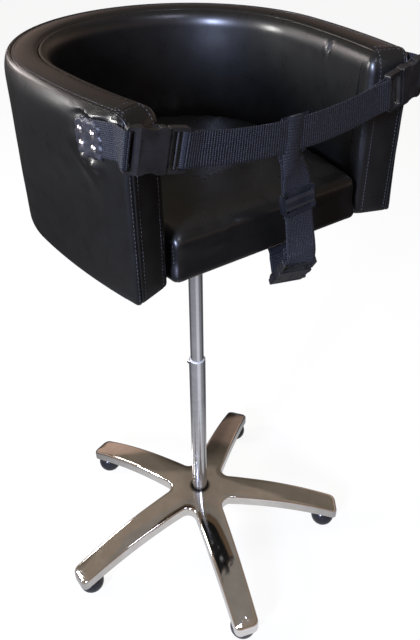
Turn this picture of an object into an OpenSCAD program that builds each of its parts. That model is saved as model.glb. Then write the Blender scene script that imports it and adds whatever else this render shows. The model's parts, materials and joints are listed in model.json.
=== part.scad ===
// Child's tub chair for a hair salon, with a lap belt and crotch strap,
// on a telescoping column and a five-arm star base.
// Millimetres. The floor is z = 0, the column stands on Z and the chair faces -Y.

/* [Tub] */
// Height of the arm rim above the floor
rim_z = 947; // [900:1:1000]
// Height of the upholstered wall
tub_h = 211; // [190:1:240]
// Radius of the back, outside, in plan
tub_r = 222; // [215:1:260]
// Distance of the centre of the back's curve behind the column
tub_y = 14; // [8:1:24]
// Radius of each arm's slight curve, in plan
arm_r = 920; // [800:10:1400]
// Reach of the arms in front of the column
arm_reach = 188; // [180:1:200]
// Angle at which each arm's end face falls back
end_slant = 20; // [14:1:24]
// Thickness of the padded wall
wall_t = 56; // [52:1:60]
// Thickness of the outside cover
cover_t = 3; // [2:0.5:4]
// Thickness of the moulded plywood shell
shell_t = 12; // [9:1:15]
// Depth of the sewn cap on each arm's end
cap_depth = 20; // [16:1:24]
// Radius of the roll at the wall's outside top edge
roll_out = 9; // [7:0.5:11]
// Radius of the roll at the wall's inside top edge
roll_in = 14; // [10:0.5:16]
// Thickness of the flat strip along the top of the wall
band_t = 4; // [3:0.5:6]
// Diameter of the welt in the rim seam
welt_d = 3; // [2:0.5:4]

/* [Seat] */
// Thickness of the plywood seat board
board_t = 18; // [15:1:22]
// Height of the cushion's front edge above the underside
cushion_h = 62; // [52:1:72]
// Rise of the cushion's crown above its edge
crown_h = 8; // [4:1:14]
// Reach of the cushion in front of the column
seat_reach = 178; // [172:1:186]
// Gap between the cushion and the wall
seat_gap = 1.5; // [1:0.5:3]
// Cover wrapped over the board's front edge
wrap_t = 6; // [4:1:10]

/* [Column] */
// Diameter of the lower tube
tube_d = 28; // [26:0.5:32]
// Wall of the lower tube
tube_wall = 1.8; // [1.5:0.1:2.2]
// Height of the lower tube's mouth
tube_top = 437; // [400:1:480]
// Diameter of the upper tube
post_d = 22.4; // [21:0.1:22.4]
// Wall of the upper tube
post_wall = 2; // [1.5:0.1:2.5]
// Length of the upper tube inside the lower one
post_inside = 200; // [180:1:220]
// Running clearance on the radius of a turning or sliding fit
run_gap = 0.05; // [0.03:0.01:0.08]
// Diameter of the swivel spigot
spigot_d = 17; // [15:0.5:18]
// Height of the hub under the seat plate
hub_h = 40; // [32:1:48]
// Side of the square seat plate
plate_w = 140; // [120:5:160]

/* [Star base] */
// Height of the star's centre
star_z = 112; // [104:1:122]
// Drop of the star's top from its centre to an arm's tip
star_drop = 59; // [54:1:62]
// Reach of an arm from the column
star_reach = 275; // [266:1:290]
// Half the width of an arm beside the hub
arm_half = 27; // [25:0.5:29]
// Half the width of an arm at its tip
tip_half = 22; // [20:0.5:24]
// Radius of the web between two arms
web_r = 17; // [12:1:22]
// Height of an arm's side wall
side_h = 20; // [18:0.5:22]
// Radius of an arm's rounded top edge
edge_r = 3.5; // [2:0.5:5]
// Thickness of the casting
cast_t = 4; // [3:0.5:5]
// Angle of the first arm, seen from above
star_turn = 37; // [0:1:71]

/* [Glides] */
// Distance of a glide's middle from its arm's tip
glide_inset = 25; // [22:1:28]
// Diameter of a glide's ball
ball_d = 45; // [40:1:46]
// Diameter of a glide's stem
stem_d = 11; // [10:0.5:12]

/* [Harness] */
// Width of the webbing
web_w = 38; // [36:1:40]
// Thickness of the webbing
web_t = 1.6; // [1.2:0.1:2]
// Height of the middle of the lap belt above the floor
belt_z = 896; // [885:1:905]
// Sag of the lap belt
belt_sag = 14; // [8:1:18]
// Distance of the middle of the lap belt in front of the arms' ends
belt_out = 20; // [18:1:26]
// Bow of the lap belt
belt_bow = 6; // [4:1:9]
// Distance of the lap belt's ends, at the tongues, in from the arms' outer corners
belt_inset = 58.5; // [56.5:0.5:63]
// Width of a buckle
buckle_w = 46; // [45:0.5:50]
// Thickness of a buckle
buckle_t = 12; // [11:0.5:13]
// Length of a buckle's socket half
socket_l = 44; // [42:0.5:48]
// Length of a buckle's tongue that shows
tongue_l = 23; // [21:0.5:26]
// Height of the strap slider
slider_h = 32; // [26:1:36]
// Diameter of a rivet head
rivet_d = 8; // [6:0.5:9]

/* [Hidden] */
$fn = 48;

// Colours
leather = [0.09, 0.085, 0.085];
web_black = [0.13, 0.13, 0.16];
plastic_black = [0.08, 0.08, 0.08];
steel = [0.72, 0.72, 0.70];
cast_metal = [0.70, 0.66, 0.60];
ply = [0.72, 0.56, 0.36];
nylon = [0.86, 0.85, 0.80];

// Shared small values
cut = 1;                                   // overrun of a cutting shape
fit_gap = 0.3;                             // gap between separate bodies
seat_z = rim_z - tub_h;                    // underside of the seat and the wall
board_z = seat_z + board_t;
pad_in = wall_t;                           // inset of the wall's inner face
shell_in = cover_t + shell_t;
bottom_r = cover_t;                        // roll at the wall's bottom edge
arc_c = [tub_r - arm_r, tub_y];            // centre of the right arm's curve
reach_c = tub_y + arm_reach;
belt_y = arm_reach + belt_out;
arm_a = asin(reach_c / arm_r);
corner_out = 12;                           // roundings of an arm's end, in plan
corner_in = 14;
corner_steps = 5;

// Vector helpers
function unit(v) = v / norm(v);
function mix(a, b, t) = a + (b - a) * t;
function flip(p) = [-p.x, p.y];
function turn(p, a) = [p.x * cos(a) - p.y * sin(a), p.x * sin(a) + p.y * cos(a)];

// Arc that rounds the corner v between p and q
function fillet_arc(p, v, q, r, n) = let(
    a = unit(p - v), b = unit(q - v), half = acos(a * b) / 2,
    c = v + unit(a + b) * r / sin(half),
    s = v + a * r / tan(half) - c, e = v + b * r / tan(half) - c,
    a0 = atan2(s.y, s.x), da = atan2(s.x * e.y - s.y * e.x, s * e)
) [for (k = [0:n]) c + r * [cos(a0 + da * k / n), sin(a0 + da * k / n)]];

// Amount that a quarter round of radius r draws in at depth d below its top
function quarter_in(r, d) = d >= r ? 0 : r - sqrt(r * r - (r - d) * (r - d));

function middle(ring) = [for (p = ring) 1] * ring / len(ring);

// Closed skin over a list of rings with equal counts of points, each end closed to its middle
module skin(rings) {
    n = len(rings[0]);
    m = len(rings);
    polyhedron(
        points = concat([for (ring = rings) each ring], [middle(rings[0]), middle(rings[m - 1])]),
        faces = [for (j = [0:n - 1]) let(k = (j + 1) % n) each concat(
            [for (i = [0:m - 2]) each [[i * n + j, (i + 1) * n + j, (i + 1) * n + k],
                [i * n + j, (i + 1) * n + k, i * n + k]]],
            [[j, k, n * m], [(m - 1) * n + k, (m - 1) * n + j, n * m + 1]]
        )]
    );
}

// Flat band of width w and thickness t along a path, its width along ups
module ribbon(path, ups, w, t) {
    last = len(path) - 1;
    skin([for (i = [0:last]) let(
        along = unit(path[min(i + 1, last)] - path[max(i - 1, 0)]),
        up = unit(ups[i] - along * (ups[i] * along)),
        side = cross(along, up)
    ) [
        path[i] + up * w / 2 + side * t / 2,
        path[i] + up * w / 2 - side * t / 2,
        path[i] - up * w / 2 - side * t / 2,
        path[i] - up * w / 2 + side * t / 2
    ]]);
}

// Tub

// Sweeps a profile, drawn against the back's radius, round the back and along both arms
module around_tub() {
    translate([0, tub_y, 0]) rotate_extrude(angle = 180, $fn = 120) children();
    translate([arc_c.x, arc_c.y, 0]) along_arm(-arm_a) children();
    translate([-arc_c.x, arc_c.y, 0]) along_arm(180) children();
}
module along_arm(from) rotate_extrude(start = from, angle = arm_a, $fn = 240)
    translate([arm_r - tub_r, 0]) children();

// Point on the right arm, back behind its end face and inset from the outside
end_x = arc_c.x + sqrt(arm_r * arm_r - reach_c * reach_c);
end_dir = [cos(end_slant), -sin(end_slant)];
end_back = [sin(end_slant), cos(end_slant)];
function arm_point(back, inset) = let(
    p = [end_x, -arm_reach] + end_back * back, w = p - arc_c, b = w * end_dir,
    r = arm_r - inset
) p + end_dir * (sqrt(b * b - w * w + r * r) - b);

// Clears everything in front of a plane that lies back behind each arm's end face
module before_cap(back) {
    far = wall_t * 2;
    for (side = [0, 1]) mirror([side, 0, 0])
        translate([end_x, -arm_reach, seat_z - far]) rotate([0, 0, -end_slant])
            translate([-wall_t * 1.5, back - far, 0]) cube([far, far, tub_h + far * 2]);
}

// Quarter round of radius r from the top, a = 90, to one side
function quarter(r, a1) = [for (k = [0:6]) r * [cos(mix(90, a1, k / 6)), sin(mix(90, a1, k / 6))]];

band_out = roll_out + welt_d;              // inset of the top band's outer edge
band_w = wall_t - roll_in - band_out;

module top_band() color(leather) difference() {
    around_tub() translate([tub_r - band_out - band_w, rim_z - band_t]) square([band_w, band_t]);
    before_cap(cap_depth);
}

module outer_cover() color(leather) difference() {
    inner = quarter(roll_out - cover_t, 0);
    around_tub() translate([tub_r - roll_out, rim_z - roll_out]) polygon(concat(
        quarter(roll_out, 0),
        [[roll_out, roll_out - tub_h], [roll_out - cover_t, roll_out - tub_h]],
        [for (k = [len(inner) - 1:-1:0]) inner[k]]
    ));
    before_cap(cap_depth);
}

module rim_welt() color(leather) difference() {
    around_tub() translate([tub_r - roll_out - welt_d / 2, rim_z - welt_d / 4]) circle(d = welt_d, $fn = 10);
    before_cap(cap_depth);
}

screw_turns = [for (k = [-3:3]) k * 28];   // where screws hold the shell to the board
screw_len = 38;
screw_d = 4.5;

module shell_screw_places() {
    for (a = screw_turns) translate([0, tub_y, seat_z + board_t / 2]) rotate([0, 0, 90 + a])
        translate([tub_r - cover_t - fit_gap, 0, 0]) rotate([0, -90, 0]) children();
}

module shell_screw() {
    cylinder(h = screw_len, d = screw_d);
    cylinder(h = screw_d / 2, d1 = screw_d * 2, d2 = screw_d);
}

module tub_shell() color(ply) difference() {
    translate([0, 0, seat_z]) linear_extrude(tub_h - roll_out) difference() {
        tub_plan(cover_t);
        tub_plan(shell_in);
    }
    before_cap(cap_depth);
    shell_screw_places() {
        shell_screw();
        translate([0, 0, -cut]) cylinder(h = cut, d = screw_d * 2);
    }
}

module shell_screws() color(steel) shell_screw_places() shell_screw();

module inner_pad() color(leather) difference() {
    w = wall_t - shell_in;
    h = tub_h - board_t;
    over = wall_t - roll_out;
    around_tub() translate([tub_r - wall_t, board_z]) polygon(concat(
        [[w, 0], [w, h - roll_out], [over, h - roll_out], [over, h - band_t], [roll_in, h - band_t]],
        [for (p = quarter(roll_in, 180)) [roll_in, h - roll_in] + p],
        [[0, 0]]
    ));
    before_cap(cap_depth);
}

// Outline of the right arm's cap at a height, drawn in by the rounding there
function cap_ring(z) = let(
    top = rim_z - z, low = z - seat_z,
    out = max(quarter_in(roll_out, top), quarter_in(bottom_r, low)),
    in = wall_t - max(quarter_in(roll_in, top), quarter_in(bottom_r, low)),
    front = max(quarter_in(corner_out, top), quarter_in(bottom_r, low)),
    a = arm_point(cap_depth, out), b = arm_point(front, out),
    c = arm_point(front, in), d = arm_point(cap_depth, in)
) [for (p = concat([a], fillet_arc(a, b, c, corner_out - front * 0.6, corner_steps),
    fillet_arc(b, c, d, corner_in - front * 0.6, corner_steps), [d])) [p.x, p.y, z]];

module arm_end() {
    roll_shares = [0, 0.03, 0.12, 0.3, 0.55, 1];
    skin(concat(
        [for (s = [0, 0.3, 1]) cap_ring(seat_z + bottom_r * s)],
        [for (k = [5:-1:0]) cap_ring(rim_z - roll_in * roll_shares[k])]
    ));
}

module left_arm_end() color(leather) mirror([1, 0, 0]) arm_end();
module right_arm_end() color(leather) arm_end();

// Seat

// Area inside the tub, inset from its outside
module tub_plan(inset) {
    intersection() {
        translate([0, tub_y]) circle(tub_r - inset, $fn = 120);
        translate([-tub_r * 2, tub_y]) square(tub_r * 4);
    }
    intersection() {
        translate(arc_c) circle(arm_r - inset, $fn = 240);
        translate(flip(arc_c)) circle(arm_r - inset, $fn = 240);
        translate([-tub_r * 2, -arm_reach * 1.2]) square([tub_r * 4, tub_y + arm_reach * 1.2]);
    }
}

pivot_hole = spigot_d * 2;                  // clearance in the board round the swivel bolt
plate_t = 4;                               // thickness of the seat plate
plate_screw_d = 6;
plate_hole_at = plate_w / 2 - plate_screw_d * 2.5;
plate_screw_l = plate_t + board_t * 0.7;

module plate_screw_places() {
    for (x = [-1, 1], y = [-1, 1]) translate([x * plate_hole_at, y * plate_hole_at, 0]) children();
}

// Outline of the board: the tub's inside, and a tongue between the arms under the cushion's front
module board_plan(back) {
    half = side_x(-seat_reach, pad_in + seat_gap) - back;
    difference() {
        tub_plan(shell_in);
        for (side = [0, 1]) mirror([side, 0, 0]) translate([end_x, -arm_reach]) rotate(-end_slant)
            translate([-wall_t * 2, cap_depth - tub_h]) square([wall_t * 3, tub_h]);
        translate([-tub_r, -tub_r - seat_reach + back]) square([tub_r * 2, tub_r]);
    }
    translate([-half, -seat_reach + back]) square([half * 2, seat_reach]);
}

module seat_board() color(ply) difference() {
    translate([0, 0, seat_z]) linear_extrude(board_t) difference() {
        board_plan(wrap_t);
        circle(d = pivot_hole);
    }
    shell_screw_places() shell_screw();
    translate([0, 0, seat_z - cut]) plate_screw_places() cylinder(h = board_t * 0.7 + cut, d = plate_screw_d);
    anchor_screw_places() cylinder(h = anchor_screw_l, d = screw_d);
}

// Distance of an arm's curve from the middle at a place along it
function side_x(y, inset) = arc_c.x + sqrt((arm_r - inset) * (arm_r - inset) - (y - arc_c.y) * (y - arc_c.y));

// Outline of the cushion, drawn in by an inset
function cushion_outline(inset) = let(
    gap = pad_in + seat_gap + inset, front = -seat_reach + inset, r = tub_r - gap,
    half = side_x(front + corner_out, gap),
    corner = fillet_arc([0, front], [half, front], [half, front + corner_out * 2], corner_out * 0.8, 3),
    side = [for (k = [0:5]) let(y = mix(front + corner_out, tub_y, k / 6)) [side_x(y, gap), y]],
    right = concat(corner, side),
    back = [for (k = [0:24]) [r * cos(180 * k / 24), tub_y + r * sin(180 * k / 24)]],
    left = [for (k = [len(right) - 1:-1:0]) flip(right[k])]
) concat(right, back, left, [for (k = [1:3]) [mix(-half, half, k / 4), front]]);

cushion_top = seat_z + cushion_h;
module cushion_form() {
    // shares of the height and of the inset, from the middle of the crown down to the bottom edge
    crown_shares = [[1, 0.85], [0.88, 0.55], [0.65, 0.3], [0.35, 0.14]];
    edge_shares = [[1, 1], [0.96, 0.5], [0.88, 0.2], [0.72, 0], [0.4, 0], [0.12, 0.1], [0, 0.35]];
    edge = corner_out * 0.8;
    skin(concat(
        [for (s = crown_shares) [for (p = cushion_outline(edge)) let(q = mix(p, [0, 0], s[1]))
            [q.x, q.y, cushion_top + crown_h * s[0]]]],
        [for (s = edge_shares) [for (p = cushion_outline(edge * s[1])) [p.x, p.y, seat_z + cushion_h * s[0]]]]
    ));
}

module seat_cushion() color(leather) difference() {
    cushion_form();
    translate([-tub_r, -seat_reach + wrap_t, seat_z - cut]) cube([tub_r * 2, tub_r * 3, board_t + cut]);
}

cloth_t = 1;                                // thickness of the black cloth under the seat
module under_cover() color(plastic_black) translate([0, 0, seat_z - cloth_t]) linear_extrude(cloth_t)
    difference() {
        board_plan(wrap_t * 2);
        square(plate_w + fit_gap * 2, center = true);
        translate([strap_x, anchor_y]) anchor_screw_spots() circle(d = screw_d);
    }

// Column

tube_bore = tube_d - tube_wall * 2;
hub_bore_z = star_z - side_h * 2;          // foot of the lower tube in the hub
hub_boss_r = arm_half;
plug_h = 18;
bush_h = 40;
foot_bush_h = 30;
flange_t = 2;
washer_t = 2;
hub_z = seat_z - plate_t - hub_h;
shoulder_z = hub_z - washer_t;
post_z = tube_top - post_inside;
post_top = shoulder_z - flange_t;
post_bore = post_d - post_wall * 2;
base_bolt_d = 10;

module tube(h, d, bore) difference() {
    cylinder(h = h, d = d);
    translate([0, 0, -cut]) cylinder(h = h + cut * 2, d = bore);
}

module base_tube() color(steel) difference() {
    translate([0, 0, hub_bore_z]) tube(tube_top - hub_bore_z, tube_d, tube_bore);
    lock_place() translate([0, 0, -cut]) cylinder(h = lock_l, d = lock_d);
}

module tube_bush() color(nylon) translate([0, 0, tube_top - bush_h]) difference() {
    union() {
        cylinder(h = bush_h, d = tube_bore);
        translate([0, 0, bush_h]) cylinder(h = washer_t / 2, d = tube_d - tube_wall);
    }
    translate([0, 0, -cut]) cylinder(h = bush_h + washer_t + cut * 2, d = post_d + run_gap * 2);
}

// Set screw that clamps the upper tube, at the back of the lower one
lock_d = 6;
lock_z = tube_top - bush_h / 2;
lock_l = tube_wall + lock_d;
module lock_place() translate([0, tube_bore / 2, lock_z]) rotate([-90, 0, 0]) children();
module lock_screw() color(steel) lock_place() difference() {
    union() {
        cylinder(h = lock_l, d = lock_d);
        translate([0, 0, lock_l]) cylinder(h = lock_d * 0.7, d = lock_d * 1.7);
    }
    translate([0, 0, lock_l + lock_d * 0.3]) cylinder(h = lock_d, d = lock_d * 0.8, $fn = 6);
}

module tube_plug() color(steel) translate([0, 0, hub_bore_z]) tube(plug_h, tube_bore, base_bolt_d);

module base_washer() color(steel) translate([0, 0, hub_bore_z - washer_t])
    tube(washer_t, hub_boss_r * 1.6, base_bolt_d);

module hex_bolt(d, l, head) {
    cylinder(h = l, d = d);
    translate([0, 0, -head]) cylinder(h = head, d = d * 1.8, $fn = 6);
}

module base_bolt() color(steel) translate([0, 0, hub_bore_z - washer_t])
    hex_bolt(base_bolt_d, plug_h + washer_t - cut, base_bolt_d * 0.65);

module post_tube() color(steel) translate([0, 0, post_z]) tube(post_top - post_z, post_d, post_bore);

module post_bush() color(nylon) translate([0, 0, post_z]) tube(foot_bush_h, tube_bore - run_gap * 2, post_d);

pivot_bolt_d = 8;
pivot_z = seat_z + fit_gap;                // top of the spigot

module post_spigot() color(steel) difference() {
    union() {
        translate([0, 0, post_top - spigot_d * 2]) cylinder(h = spigot_d * 2, d = post_bore);
        translate([0, 0, post_top]) cylinder(h = flange_t, d = post_d);
        translate([0, 0, shoulder_z - cut / 2]) cylinder(h = pivot_z - shoulder_z + cut / 2, d = spigot_d);
    }
    translate([0, 0, pivot_z - spigot_d * 1.5]) cylinder(h = spigot_d * 2, d = pivot_bolt_d);
}

module thrust_washer() color(nylon) translate([0, 0, shoulder_z])
    tube(washer_t, spigot_d * 2, spigot_d + fit_gap * 2);

module pivot_washer() color(steel) translate([0, 0, pivot_z])
    tube(washer_t, spigot_d + 10, pivot_bolt_d);

module pivot_bolt() color(steel) translate([0, 0, pivot_z + washer_t]) mirror([0, 0, 1])
    hex_bolt(pivot_bolt_d, spigot_d * 1.4, pivot_bolt_d * 0.6);

module seat_plate() color(steel) difference() {
    union() {
        translate([-plate_w / 2, -plate_w / 2, seat_z - plate_t]) cube([plate_w, plate_w, plate_t]);
        translate([0, 0, hub_z]) cylinder(h = hub_h, d = spigot_d * 2.4);
        for (a = [45:90:315]) rotate([0, 0, a]) translate([spigot_d * 1.1, plate_t / 2, seat_z - plate_t])
            rotate([90, 0, 0]) linear_extrude(plate_t)
                polygon([[0, 0], [plate_w * 0.25, 0], [0, -hub_h * 0.8]]);
    }
    translate([0, 0, hub_z - cut]) cylinder(h = hub_h + plate_t + cut * 2, d = spigot_d + run_gap * 2);
    translate([0, 0, seat_z - plate_t - cut]) plate_screw_places()
        cylinder(h = plate_t + cut * 2, d = plate_screw_d);
}

module plate_screws() color(steel) translate([0, 0, seat_z - plate_t]) plate_screw_places() {
    cylinder(h = plate_screw_l, d = plate_screw_d);
    translate([0, 0, -plate_screw_d / 2]) cylinder(h = plate_screw_d / 2, d = plate_screw_d * 2);
}

// Star base

function star_top(r) = star_z - star_drop * r * r / (star_reach * star_reach);
taper = atan((arm_half - tip_half) / (star_reach - arm_half * 2));
web_c = (arm_half + web_r) / sin(36);      // distance of a web's centre from the column
web_mid = web_c * [cos(36), sin(36)];
arc_steps = 4;
side_steps = 6;
tip_r = 11;

// Left half of an arm's outline, from the web to the tip, drawn in by an inset
function arm_side(inset) = let(
    r = web_r + inset,
    web = [for (k = [1:arc_steps]) let(a = 216 + (54 - taper) * k / arc_steps) web_mid + r * [cos(a), sin(a)]],
    start = web[arc_steps - 1],
    in = max(tip_r, inset + cut / 2),
    c = [star_reach - in, tip_half - in],
    tip = [for (k = [0:arc_steps]) let(a = 90 - 90 * k / arc_steps)
        c + (in - inset) * [cos(a), sin(a)]],
    side = [for (k = [1:side_steps - 1]) mix(start, tip[0], k / side_steps)]
) concat(web, side, tip);

half_count = arc_steps * 2 + side_steps;
function valley(inset) = (web_c - web_r - inset) * [cos(36), sin(36)];

// One turn round the whole star: for each arm its right web, right side, tip and left side
function star_ring(inset, lift) = [for (arm = [0:4]) let(side = arm_side(inset))
    for (p = concat([turn(valley(inset), -72)], [for (q = side) [q.x, -q.y]],
        [for (k = [half_count - 1:-1:0]) side[k]]))
    let(q = turn(p, star_turn + arm * 72)) [q.x, q.y, star_top(norm(q)) + lift]];

// Faces that close a ring across each arm and over the hub
function star_lid(base, up) = let(n = 1 + half_count * 2, order = up ? 1 : -1) [
    for (arm = [0:4]) let(o = base + arm * n, next = base + ((arm + 1) % 5) * n)
        for (f = concat(
            [for (k = [1:half_count - 1]) each [[o + k, o + k + 1, o + n - k - 1], [o + k, o + n - k - 1, o + n - k]]],
            [[o, o + 1, o + n - 1], [o, o + n - 1, next]]
        )) up ? [f[2], f[1], f[0]] : f,
    up ? [for (arm = [4:-1:0]) base + arm * n] : [for (arm = [0:4]) base + arm * n]
];

module star_skin() {
    crown = 1.5;
    // inset and lift of each ring, from under the top skin, over the edge, to the top
    rings = [
        star_ring(cast_t + cut, -cast_t),
        star_ring(cast_t, -side_h),
        star_ring(0, -side_h),
        star_ring(0, -edge_r),
        star_ring(edge_r * 0.3, -edge_r * 0.3),
        star_ring(edge_r, 0),
        star_ring(arm_half / 2, crown)
    ];
    n = len(rings[0]);
    m = len(rings);
    polyhedron(
        points = [for (ring = rings) each ring],
        faces = concat(
            [for (i = [0:m - 2], j = [0:n - 1]) let(k = (j + 1) % n)
                each [[i * n + j, (i + 1) * n + j, (i + 1) * n + k], [i * n + j, (i + 1) * n + k, i * n + k]]],
            star_lid(0, false),
            star_lid((m - 1) * n, true)
        )
    );
}

glide_r = star_reach - glide_inset;
glide_top = star_top(glide_r) - side_h;
socket_h = side_h - cast_t * 1.5;
boss_r = stem_d / 2 + cast_t;

module glide_places() for (arm = [0:4]) rotate([0, 0, star_turn + arm * 72]) translate([glide_r, 0, 0]) children();

module star_base() color(cast_metal) difference() {
    union() {
        star_skin();
        translate([0, 0, hub_bore_z]) cylinder(h = star_z - hub_bore_z - cast_t / 2, r = hub_boss_r);
        glide_places() translate([0, 0, glide_top]) cylinder(h = socket_h, r = boss_r);
        // rib along the inside of each arm
        for (arm = [0:4]) rotate([0, 0, star_turn + arm * 72]) translate([0, cast_t / 2, 0]) rotate([90, 0, 0])
            linear_extrude(cast_t) polygon(concat(
                [for (k = [0:8]) let(u = mix(hub_boss_r * 0.8, glide_r - boss_r * 0.6, k / 8))
                    [u, star_top(u) - cast_t * 0.8]],
                [for (k = [8:-1:0]) let(u = mix(hub_boss_r * 0.8, glide_r - boss_r * 0.6, k / 8))
                    [u, star_top(u) - side_h * 0.75]]
            ));
    }
    translate([0, 0, hub_bore_z - cut]) cylinder(h = star_z, d = tube_d);
    glide_places() translate([0, 0, glide_top - cut]) cylinder(h = socket_h + cut, d = stem_d + run_gap * 2);
}

// Glides

stem_foot = ball_d * 0.3;
module glide_foot(k) color(plastic_black) rotate([0, 0, star_turn + (k - 1) * 72]) translate([glide_r, 0, 0])
    rotate_extrude() difference() {
        union() {
            intersection() {
                translate([0, ball_d / 2 - cut]) circle(d = ball_d, $fn = 64);
                square([ball_d, glide_top - cast_t]);
            }
            square([stem_d * 0.85, glide_top]);
        }
        translate([0, stem_foot]) square([stem_d / 2, ball_d * 2]);
        translate([-ball_d, -cut]) square([ball_d, ball_d * 2]);
    }

module glide_stem(k) color(steel) rotate([0, 0, star_turn + (k - 1) * 72]) translate([glide_r, 0, 0]) {
    translate([0, 0, stem_foot]) cylinder(h = glide_top + socket_h - cut * 1.5 - stem_foot, d = stem_d);
    translate([0, 0, glide_top + socket_h - cut * 1.5]) cylinder(h = cut, d1 = stem_d, d2 = stem_d - cut * 2);
}

// Harness

// Sets a piece drawn on X, Y and Z at a place, with its X along ex and its Z along ez
module placed(at, ex, ez) {
    ey = cross(ez, ex);
    multmatrix([
        [ex.x, ey.x, ez.x, at.x],
        [ex.y, ey.y, ez.y, at.y],
        [ex.z, ey.z, ez.z, at.z],
        [0, 0, 0, 1]
    ]) children();
}
function place(at, ex, ez, p) = at + ex * p.x + cross(ez, ex) * p.y + ez * p.z;
module mirrored() mirror([1, 0, 0]) children();

// Side-release buckle: a socket from x = 0, and a tongue that plugs into it and ends at buckle_l
buckle_l = socket_l + tongue_l;
bar_d = 4;                                 // bars that the webbing turns round
slot_w = 5;                                // slot beside such a bar
rail = (buckle_w - web_w) / 2 - fit_gap;   // side rails beside the webbing
wall_b = 2;                                // wall of the socket
tab_l = 17;                                // length of a finger tab
window_1 = socket_l - 9;                   // window in each side of the socket
window_0 = window_1 - tab_l - fit_gap * 2;
guide_w = 6;                               // guide blade between the prongs
root_r = 2.4;                              // round root of a prong, seated in the tongue
root_x = socket_l + 1;
root_z = buckle_w * 0.3;
prong_t = buckle_t - wall_b * 2 - fit_gap * 2;
frame_t = buckle_t * 0.75;
tongue_0 = socket_l + fit_gap;
adjuster_bar = buckle_l - bar_d - slot_w - bar_d;
bend_r = (bar_d + web_t) / 2 + fit_gap;    // turn of the webbing's middle round a bar

// Rounded rectangle between x0 and x1 and between z0 and z1
module plate_2d(x0, x1, z0, z1, r) {
    translate([x0 + r, z0]) square([x1 - x0 - r * 2, z1 - z0]);
    translate([x0, z0 + r]) square([x1 - x0, z1 - z0 - r * 2]);
    for (x = [x0 + r, x1 - r], z = [z0 + r, z1 - r]) translate([x, z]) circle(r, $fn = 24);
}

// Gives thickness t to a shape drawn on X and Z, with its middle at y = 0
module thick(t) rotate([90, 0, 0]) translate([0, 0, -t / 2]) linear_extrude(t) children();

// Round bar that webbing turns round, from x onwards
module buckle_bar(x) translate([x + bar_d / 2, 0, (rail - buckle_w) / 2])
    cylinder(h = buckle_w - rail, d = bar_d);

module buckle_socket() {
    slim = buckle_t * 0.22;
    scoop = tab_l * 0.9;
    belly = bar_d + slot_w + bar_d;
    half = buckle_w / 2;
    difference() {
        intersection() {
            thick(buckle_t) difference() {
                plate_2d(0, socket_l, -half, half, wall_b * 1.5);
                // scooped sides where the fingers press
                for (z = [-1, 1]) translate([(window_0 + window_1) / 2, z * (half + scoop * 0.85)])
                    circle(scoop, $fn = 48);
            }
            translate([0, 0, -half]) linear_extrude(buckle_w) polygon([
                [0, slim - buckle_t / 2], [belly / 2, slim - buckle_t / 2], [belly, -buckle_t / 2],
                [socket_l, -buckle_t / 2], [socket_l, buckle_t / 2], [belly, buckle_t / 2],
                [belly / 2, buckle_t / 2 - slim], [0, buckle_t / 2 - slim]
            ]);
        }
        thick(buckle_t * 2) plate_2d(-slot_w, bar_d + slot_w, rail - half, half - rail, wall_b * 0.7);
        // mouth for the tongue's guide and prongs
        translate([window_0 - wall_b, wall_b - buckle_t / 2, rail - half])
            cube([socket_l, buckle_t - wall_b * 2, (half - rail) * 2]);
        // windows that the finger tabs stand in
        translate([window_0, wall_b - buckle_t / 2, -buckle_w])
            cube([window_1 - window_0, buckle_t - wall_b * 2, buckle_w * 2]);
    }
    buckle_bar(0);
}

module buckle_tongue() {
    half = buckle_w / 2;
    difference() {
        union() {
            thick(frame_t) difference() {
                plate_2d(tongue_0, buckle_l, -half, half, wall_b * 1.2);
                plate_2d(adjuster_bar, buckle_l + half, rail - half, half - rail, wall_b * 0.5);
                plate_2d(tongue_0 + bar_d, adjuster_bar + bar_d, rail - half, half - rail, wall_b * 0.5);
            }
            for (x = [adjuster_bar, buckle_l - bar_d]) buckle_bar(x);
            thick(prong_t) polygon([
                [tongue_0 + bar_d / 2, -guide_w / 2], [tongue_0 + bar_d / 2, guide_w / 2],
                [window_0 + guide_w, guide_w / 2], [window_0 + guide_w / 2, guide_w / 4],
                [window_0 + guide_w / 2, -guide_w / 4], [window_0 + guide_w, -guide_w / 2]
            ]);
        }
        for (z = [-1, 1]) translate([root_x, 0, z * root_z]) rotate([90, 0, 0])
            cylinder(h = buckle_t * 2, r = root_r + fit_gap, center = true, $fn = 32);
    }
}

// Springy prong with its finger tab, on the side of +Z
module prong() {
    half = buckle_w / 2;
    tab_0 = window_0 + fit_gap;
    tab_1 = window_1 - fit_gap;
    arm_w = root_r * 1.4;
    low = root_z - arm_w / 2;
    translate([root_x, 0, root_z]) rotate([90, 0, 0]) cylinder(h = prong_t, r = root_r, center = true, $fn = 32);
    thick(prong_t) polygon([
        [root_x, low], [tab_0 + bar_d, low - wall_b / 2], [tab_0 + wall_b / 2, low + wall_b],
        [tab_0, half - rail - wall_b], [tab_0 + wall_b, half - wall_b],
        [(tab_0 + tab_1) / 2, half - wall_b * 1.4], [tab_1, half - wall_b * 0.6],
        [tab_1, half - rail - wall_b * 1.2], [tab_1 - bar_d, half - rail - wall_b * 1.5],
        [tab_0 + bar_d * 1.6, low + arm_w + wall_b / 4], [root_x, low + arm_w]
    ]);
}

// Left buckle, drawn towards the middle by the lap belt
belt_half = end_x - belt_inset;
tilt = atan(2 * belt_sag / belt_half);
yaw = atan(2 * belt_bow / belt_half);
left_x = [cos(yaw) * cos(tilt), -sin(yaw) * cos(tilt), -sin(tilt)];
left_z = [cos(yaw) * sin(tilt), -sin(yaw) * sin(tilt), cos(tilt)];
left_end = [-belt_half, -belt_y + belt_bow, belt_z + belt_sag];
left_at = left_end - left_x * buckle_l;
function on_left(p) = place(left_at, left_x, left_z, p);

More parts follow.
